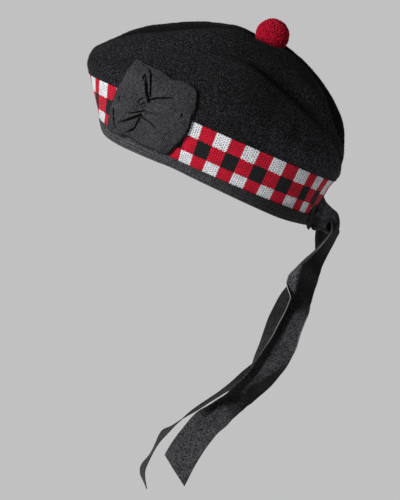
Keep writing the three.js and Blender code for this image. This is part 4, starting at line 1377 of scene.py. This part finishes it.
@dataclass
class TailKnot:
    """The folded ribbon behind the band that the tails come out of, with the eye of its loop."""

    fold_reach: float = 1.5
    fold_rise: float = 1.2
    fold_steps: tuple[int, int] = (33, 9)
    half_width: float = 13.0
    steps: int = 150
    round_steps: int = 64
    corner: float = 5.0
    eye: tuple[float, float] = (112.2, -45.0)
    eye_half: tuple[float, float] = (2.4, 3.6)
    eye_even: float = 0.2
    outline: tuple[tuple[float, float], ...] = (
        (105.8, -13), (107, -18), (109.7, -23.5), (114.8, -28.8), (119.8, -33.5), (121.5, -40),
        (121.2, -46), (119.6, -50), (116, -51.8), (109.5, -51.2), (106.5, -49.3), (102.5, -48.2),
        (97, -47.8), (95.3, -44.6), (97.6, -35.6), (100.6, -27.5), (104.2, -19))
    taper: tuple[float, float, float] = (98.0, 120.0, 0.5)
    wrap_reach: tuple[tuple[float, float], ...] = (
        (-5.5, 9.0), (-3.5, 16.0), (0.0, 20.0), (7.0, 21.0), (14.0, 20.5), (22.0, 15.5), (28.0, 6.0))
    wrap_lift: tuple[float, float] = (0.4, 1.4)
    wrap_step: tuple[float, float] = (13.0, 8.0)
    wrap_thick: float = 0.9
    wrap_steps: tuple[int, int] = (40, 49)
    wrap_edge: float = 0.4
    layer_dip: float = 0.09
    outer_dip: float = 0.18
    outer_from: float = 0.55
    rumple: tuple[float, float, int] = (0.5, 9.0, 31)
    # Painted light and shade along the loop, by distance back: dark at its front end, lightest towards the
    # back; the inner fold and the wrap lie in painted shadow.
    painted_light: tuple[tuple[float, float], ...] = ((96, 0.4), (101, 1.3), (108, 2.2), (113, 2.4), (119, 0.9))
    shadow: float = 0.25

    def inner_fold(self) -> Array:
        """Gives the fold of ribbon deep in the eye: a flat lens a little wider than the eye."""
        size = np.array([self.fold_rise, *(self.fold_reach * half for half in self.eye_half)])
        return np.array([0.0, *self.eye]) + ball_grid(*self.fold_steps) * size

    def wrap(self) -> tuple[Array, Array]:
        """Gives the turn of ribbon that lies on the back of the band, with its cloth coordinates.

        It is a thin closed pad: at each height, over its face from one side to the other and back under.
        """
        climbs, reach = np.array(self.wrap_reach).T
        rows, turns = self.wrap_steps
        climb = np.linspace(climbs[0], climbs[-1], rows)[:, None]
        half = np.radians(spline_weights(climbs, climb) @ reach)
        turn = np.linspace(0.0, FULL_TURN, turns)
        angle = np.pi + half * np.sin(turn)
        shut = np.sqrt(np.clip(np.sin(np.pi * np.linspace(0.0, 1.0, rows)), 0.0, 1.0))[:, None]
        near_edge = squared(np.cos(turn), self.wrap_edge)
        low, high = self.wrap_lift
        lift = low + high * smooth(climb, *self.wrap_step)
        offset = lift + self.wrap_thick * shut * near_edge
        aside = (angle - np.pi) * FORM.rim.half_width
        coords = np.stack(np.broadcast_arrays(climb, aside), axis=-1) * MM
        return FORM.tipped(FORM.wall(angle, climb, offset))[::-1], coords[::-1]

    def build(self) -> Thing:
        """Makes the loop: a rounded section between the eye and the outline, carried round the eye."""
        corners = np.array(self.outline, float)
        ring = np.concatenate([corners[-2:], corners, corners[:2]])
        paces = np.linalg.norm(np.diff(ring, axis=0), axis=1)
        knots = np.concatenate([[0.0], np.cumsum(paces)])
        places = np.linspace(knots[2], knots[-2], self.steps + 1)
        rim = spline_weights(knots, places) @ ring
        eye = np.array(self.eye)
        heading = np.unwrap(np.arctan2(rim[:, 1] - eye[1], rim[:, 0] - eye[0]))
        even = np.linspace(heading[0], heading[-1], len(heading))
        heading = heading + self.eye_even * (even - heading)
        hole = eye + np.stack([np.cos(heading), np.sin(heading)], axis=-1) * np.array(self.eye_half)
        turn = np.linspace(0.0, FULL_TURN, self.round_steps + 1)
        power = 2.0 / self.corner
        across = 0.5 + 0.5 * squared(np.cos(turn), power)
        out = squared(np.sin(turn), power)
        layers = 1.0 - self.layer_dip * (1.0 - np.cos(FULL_TURN * 2.0 * across))
        layers = layers - self.outer_dip * smooth(across, self.outer_from, 1.0)
        flat = hole[:, None] + across[None, :, None] * (rim - hole)[:, None]
        start, end, keep = self.taper
        narrow = 1.0 - (1.0 - keep) * smooth(flat[..., 0], start, end)
        side = self.half_width * out * layers * narrow
        size, wave, seed = self.rumple
        side = side + size * ripple(flat, wave, seed) * np.clip(side, -1.0, 1.0)
        points = np.concatenate([side[..., None], flat], axis=-1)
        along = np.broadcast_to(places[:, None], side.shape)
        coords = np.stack([side, along], axis=-1) * MM
        cloth = Patchwork()
        tone = look_up(self.painted_light, flat[..., 0])
        cloth.add(points[::-1], coords[::-1], tone[::-1])
        cloth.add(self.inner_fold(), shade=self.shadow)
        cloth.add(*self.wrap(), self.shadow)
        # Paler colours than the tails' ribbon: painted light on the knot.
        ribbon = RibbedRibbon(name="black_knot_ribbon", dark="#1e1e20", light="#48484b")
        return settle(cloth.make("ribbon_knot"), ribbon.material(), "ribbon", "tail_knot")


@dataclass(frozen=True)
class TailPlace:
    """Where a tail's bend line hangs, and how far its face and its flap are turned from facing the left.

    Beyond roll_at, in millimetres from the bend line, the face is turned on by roll, and beyond curl_at
    the flap by curl.
    """

    out: float
    back: float
    up: float
    face: float
    flap: float
    roll_at: float = 25.0
    roll: float = 0.0
    curl_at: float = 16.0
    curl: float = 0.0


@dataclass
class RibbonTail:
    """A ribbon tail, bent along a line a third of the way in into a narrow flap and a broad face."""

    name: str
    node: str
    slant: float
    rows: tuple[TailPlace, ...]
    flap: float = 9.8
    face: float = 19.2
    bend: float = 1.4
    roll_bend: float = 3.0
    lean: float = np.radians(11.0)
    thick: float = 0.7
    steps: int = 220
    cuts: int = 30
    fine: int = 30
    probe: float = 0.06
    flutter: float = 0.3
    # The paler crease and woven edges are painted highlights; the tones along the face and the flap, and
    # the darkening of cloth turned to the back, are painted light and shade.
    crease_highlight_end: float = 0.0
    edge_highlight_ends: tuple[float, float] = (0.0, 0.0)
    face_painted_light: tuple[tuple[float, float], ...] = ((0.0, 1.0),)
    flap_painted_light: tuple[tuple[float, float], ...] = ((0.0, 1.0),)
    turned_dark: float = 0.0
    dark_turn: tuple[float, float] = (10.0, 42.0)
    woven_edge: float = 0.9
    flutter_size: float = 24.0

    def line(self) -> Array:
        """Gives the points of the bend line."""
        return np.array([(row.out, row.back, row.up) for row in self.rows])

    def turned(self, place: Array, turn: Array) -> Array:
        """Gives how far the ribbon is turned at places across it.

        Args:
            place: Distance from the bend line, negative on the flap.
            turn: In the last axis, turn of flap and face, and place and turn of the roll and the curl.

        Returns:
            The turn in radians, of the places' shape.
        """
        flap, face, roll_at, roll, curl_at, curl = np.moveaxis(turn, -1, 0)
        bent = smooth(place, -self.bend, self.bend)
        rolled = smooth(place - roll_at, -self.roll_bend, self.roll_bend)
        curled = smooth(-place - curl_at, -self.bend, self.bend)
        return np.radians(flap * (1.0 - bent) + face * bent + roll * rolled + curl * curled)

    def tone(self, across: Array, along: Array, angle: Array) -> Array:
        """Gives the ribbon's painted light and shade: set along its length, and darker where it turns to
        the back.

        Args:
            across: Distance from the bend line, negative on the flap.
            along: Distance down the ribbon.
            angle: The turn in radians.

        Returns:
            Shares of the full colour; the woven edges keep theirs.
        """
        face = look_up(self.face_painted_light, along)
        flap = look_up(self.flap_painted_light, along)
        bent = smooth(across, -self.bend, self.bend)
        from_edge = np.minimum(across + self.flap, self.face - across)
        away = smooth(np.degrees(angle), *self.dark_turn) * smooth(from_edge, 0.0, self.woven_edge)
        dark = self.turned_dark * away
        return (flap * (1.0 - bent) + face * bent) * (1.0 - dark)

    def surface(self) -> tuple[Array, Array, Array]:
        """Works out the ribbon: at each place its width unrolls from the bend line, turning as it goes.

        Returns:
            The grid of points, the cloth coordinates across and along it in metres, and its painted light
            and shade.
        """
        line = self.line()
        knots, length = shares_along(line)
        cut = np.linspace(0.0, 1.0, self.cuts + 1)[None, :]
        across = -self.flap + cut * (self.flap + self.face)
        across = np.broadcast_to(across, (self.steps + 1, self.cuts + 1))
        short = np.abs(self.slant) * (1.0 - cut if self.slant > 0 else cut) / length
        share = np.linspace(0.0, 1.0, self.steps + 1)[:, None] * (1.0 - short)
        middle = spline_weights(knots, share) @ line
        before = spline_weights(knots, np.maximum(share - self.probe, 0.0)) @ line
        after = spline_weights(knots, np.minimum(share + self.probe, 1.0)) @ line
        run = unit(after - before)
        level = np.array([np.cos(self.lean), 0.0, np.sin(self.lean)])
        level = unit(level - run * (run @ level)[..., None])
        flat = np.cross(level, run)
        turns = np.array([
            (row.flap, row.face, row.roll_at, row.roll, row.curl_at, row.curl) for row in self.rows])
        turn = spline_weights(knots, share) @ turns
        midway = (np.arange(self.fine) + 0.5) / self.fine
        place = across[..., None] * midway
        angle = self.turned(place, turn[..., None, :])
        aside = across * np.cos(angle).mean(-1)
        outward = -across * np.sin(angle).mean(-1)
        points = middle + flat * aside[..., None] + level * outward[..., None]
        end_angle = self.turned(across, turn)
        facing = level * np.cos(end_angle)[..., None] + flat * np.sin(end_angle)[..., None]
        sway = self.flutter * ripple(points, self.flutter_size, len(self.name))
        points = points + facing * sway[..., None]
        coords = np.stack([across + self.flap, share * length], axis=-1) * MM
        return points, coords, self.tone(across, share * length, end_angle)

    def build(self, hangs_from: Thing) -> Thing:
        """Makes the ribbon as a thin sheet of cloth of its cut size.

        Args:
            hangs_from: The piece that it comes out of; not used.

        Returns:
            The tail.
        """
        cloth = Patchwork()
        cloth.add(*self.surface())
        made = cloth.make(self.name)
        solid = made.modifiers.new("thickness", "SOLIDIFY")
        solid.thickness = self.thick * MM
        solid.offset = 0.0
        width = self.flap + self.face
        _, length = shares_along(self.line())
        ribbon = RibbedRibbon(
            name=f"{self.name}_weave", width=width, crease_at=self.flap, crease_end=self.crease_highlight_end,
            edge_highlight_ends=self.edge_highlight_ends)
        settle(made, ribbon.material(), "ribbon", self.node)
        return made


# Their tones are painted light and shade: darker high up and lighter towards the ends.
NEAR_TAIL = RibbonTail("ribbon_tail_near", "tail_near", 16.0, (
    TailPlace(8, 113.2, -37.8, 70, -86), TailPlace(11, 114.2, -44.9, 67.5, -86),
    TailPlace(12, 113.6, -48.6, 70.9, -86), TailPlace(12.5, 109.5, -54.9, 68, -86),
    TailPlace(13.5, 101.3, -64.6, 58.7, -84), TailPlace(15, 94.2, -72.1, 43.5, -80.2),
    TailPlace(16.5, 87.6, -77.6, 21.5, -81.6, curl=95),
    TailPlace(17.3, 84.5, -85.2, 17.6, -56.7, curl=95),
    TailPlace(18, 82.9, -92.8, 24.9, -14, 12, 0, 11, 95),
    TailPlace(18.8, 81.4, -100.2, 29.3, -12, 12, 0, 7, 95),
    TailPlace(19.7, 78.3, -107.3, 21, -12, 12, 0, 0, 95), TailPlace(20.3, 76.1, -112.8, 8, 84, 12, 0, 0),
    TailPlace(20.7, 74.7, -116.6, -6, 82, 12, 0, 0), TailPlace(21.3, 73.2, -122, -20, 76, 12, 0, 0),
    TailPlace(24, 69.3, -135.5, -31.7, 58.7, 18), TailPlace(27, 62.2, -149, -6, 51.8, 18),
    TailPlace(31, 53, -164.9, -8, 42, 11.5, 41), TailPlace(34, 46, -174.8, -8, 42, 6, 48),
    TailPlace(37, 36.4, -184.1, 0, 48, 2.5, 42), TailPlace(38.5, 29.3, -188.7, 34, 60, 10, 0),
    TailPlace(40, 22.2, -193, 40, 70, 9, -52), TailPlace(41.5, 14.6, -199.2, 25, 62, 3, -55),
    TailPlace(43, 7.4, -206.2, -27, 44, 3, 0), TailPlace(46, -7.2, -220.4, -25, -14),
    TailPlace(50, -20.9, -237.6, -16, -14), TailPlace(55, -34.7, -261.8, -5, -5)),
    crease_highlight_end=36.0, edge_highlight_ends=(112.0, 145.0), turned_dark=0.65,
    face_painted_light=((0, 0.85), (30, 0.6), (50, 0.25), (76, 0.22), (90, 0.8), (112, 0.86), (128, 1.0),
                (205, 1.05), (231, 1.2), (253, 1.3), (281, 1.25)),
    flap_painted_light=((0, 1.0), (52, 1.0), (60, 1.6), (76, 1.6), (84, 1.0), (215, 1.05), (253, 1.3),
                (281, 1.25)))

FAR_TAIL = RibbonTail("ribbon_tail_far", "tail_far", -10.0, (
    TailPlace(-2, 103.5, -43, 44, 74), TailPlace(-3, 102, -52.4, 44, 76),
    TailPlace(-7, 102.7, -64.9, 56, 76),
    TailPlace(-9, 98.2, -82.6, 88, 88), TailPlace(-4, 82.5, -100.2, 110, 110),
    TailPlace(3, 74.7, -127.4, 143, 143), TailPlace(7, 64.1, -148.2, 132, 132),
    TailPlace(12, 47.5, -164.5, 94, 94), TailPlace(18, 38.3, -174.8, 76, 76),
    TailPlace(23, 13.5, -193.1, 82, 82), TailPlace(27, -11.5, -209, 86.5, 86.5),
    TailPlace(31, -26.1, -220, 93, 93), TailPlace(35, -33.6, -225.8, 101, 101),
    TailPlace(38, -41.9, -235.5, 96, 96), TailPlace(40, -48.6, -247.8, 95, 95),
    TailPlace(42, -54.4, -259.2, 101, 101), TailPlace(44, -53, -275.1, 99.5, 99.5)),
    edge_highlight_ends=(-2.0, -1.0),
    face_painted_light=((0, 0.3), (28, 0.3), (65, 0.28), (94, 0.36), (118, 0.5), (142, 0.75), (160, 1.0)),
    flap_painted_light=((0, 0.6), (28, 0.6), (65, 0.28), (94, 0.36), (118, 0.5), (142, 0.75), (160, 1.0)))


# The studio


@dataclass
class Studio:
    """A pale floor, soft light and the camera, looking at the wearer's left side from a little above."""

    aim: tuple[float, float, float] = (0.0, -4.0, -66.7)
    elevation: float = np.radians(7.0)
    distance: float = 2000.0
    lens: float = 160.0
    floor_up: float = -520.0
    floor_start: float = 200.0
    floor_reach: float = 150000.0
    floor_rings: int = 16
    floor_sides: int = 64
    sensor: float = 36.0
    clip_end: float = 1000.0
    sky: str = "#ffffff"
    sky_strength: float = 0.12
    suns: tuple[tuple[str, tuple[float, float, float], float, float], ...] = (
        ("key_light", (0.61, -0.715, 0.34), 4.1, 20.0),
    )

    def build_camera(self) -> Thing:
        """Makes the camera and gives it to the scene."""
        data = bpy.data.cameras.new("camera")
        data.lens = self.lens
        data.sensor_width = self.sensor
        data.clip_end = self.clip_end
        camera = bpy.data.objects.new("camera", data)
        away = Vector((np.cos(self.elevation), 0.0, np.sin(self.elevation)))
        camera.location = (Vector(self.aim) + away * self.distance) * MM
        camera.rotation_euler = (-away).to_track_quat("-Z", "Y").to_euler()
        bpy.context.scene.collection.objects.link(camera)
        bpy.context.scene.camera = camera
        return camera

    def build_floor(self) -> Thing:
        """Makes the floor: a wide round sheet in rings that widen outwards."""
        rings = np.geomspace(self.floor_start, self.floor_reach, self.floor_rings)
        reach = np.concatenate([[0.0], rings])
        turn = np.linspace(0.0, FULL_TURN, self.floor_sides + 1)[:, None]
        level = np.full((len(turn), len(reach)), self.floor_up)
        points = np.stack([reach * np.cos(turn), reach * np.sin(turn), level], axis=-1)
        cloth = Patchwork()
        cloth.add(points[::-1])
        floor = cloth.make("studio_floor")
        floor.data.materials.append(PaleSweep().material())
        return floor

    def build_light(self) -> None:
        """Makes the sky light and the broad lamps."""
        scene = bpy.context.scene
        scene.view_settings.view_transform = "Standard"
        world = bpy.data.worlds.new("studio_sky")
        world.use_nodes = True
        sky = world.node_tree.nodes["Background"]
        sky.inputs["Color"].default_value = linear(self.sky)
        sky.inputs["Strength"].default_value = self.sky_strength
        scene.world = world
        for name, heading, strength, spread in self.suns:
            lamp = bpy.data.lights.new(name, "SUN")
            lamp.energy = strength
            lamp.angle = np.radians(spread)
            holder = bpy.data.objects.new(name, lamp)
            holder.rotation_euler = Vector(heading).to_track_quat("Z", "Y").to_euler()
            scene.collection.objects.link(holder)


def main() -> None:
    """Builds the studio and the pieces in order."""
    logging.basicConfig(level=logging.INFO, format="%(name)s %(message)s")
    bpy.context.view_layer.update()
    studio = Studio()
    studio.build_camera()
    studio.build_floor()
    studio.build_light()
    crown = Crown()
    crown.build()
    crown.build_nap()
    DicedBand().build()
    binding = EdgeBinding()
    binding.build()
    binding.build_stitches()
    cockade = Cockade()
    cockade.build()
    cockade.build_under()
    Toorie().build()
    knot = TailKnot().build()
    NEAR_TAIL.build(knot)
    FAR_TAIL.build(knot)


if __name__ == "__main__":
    main()
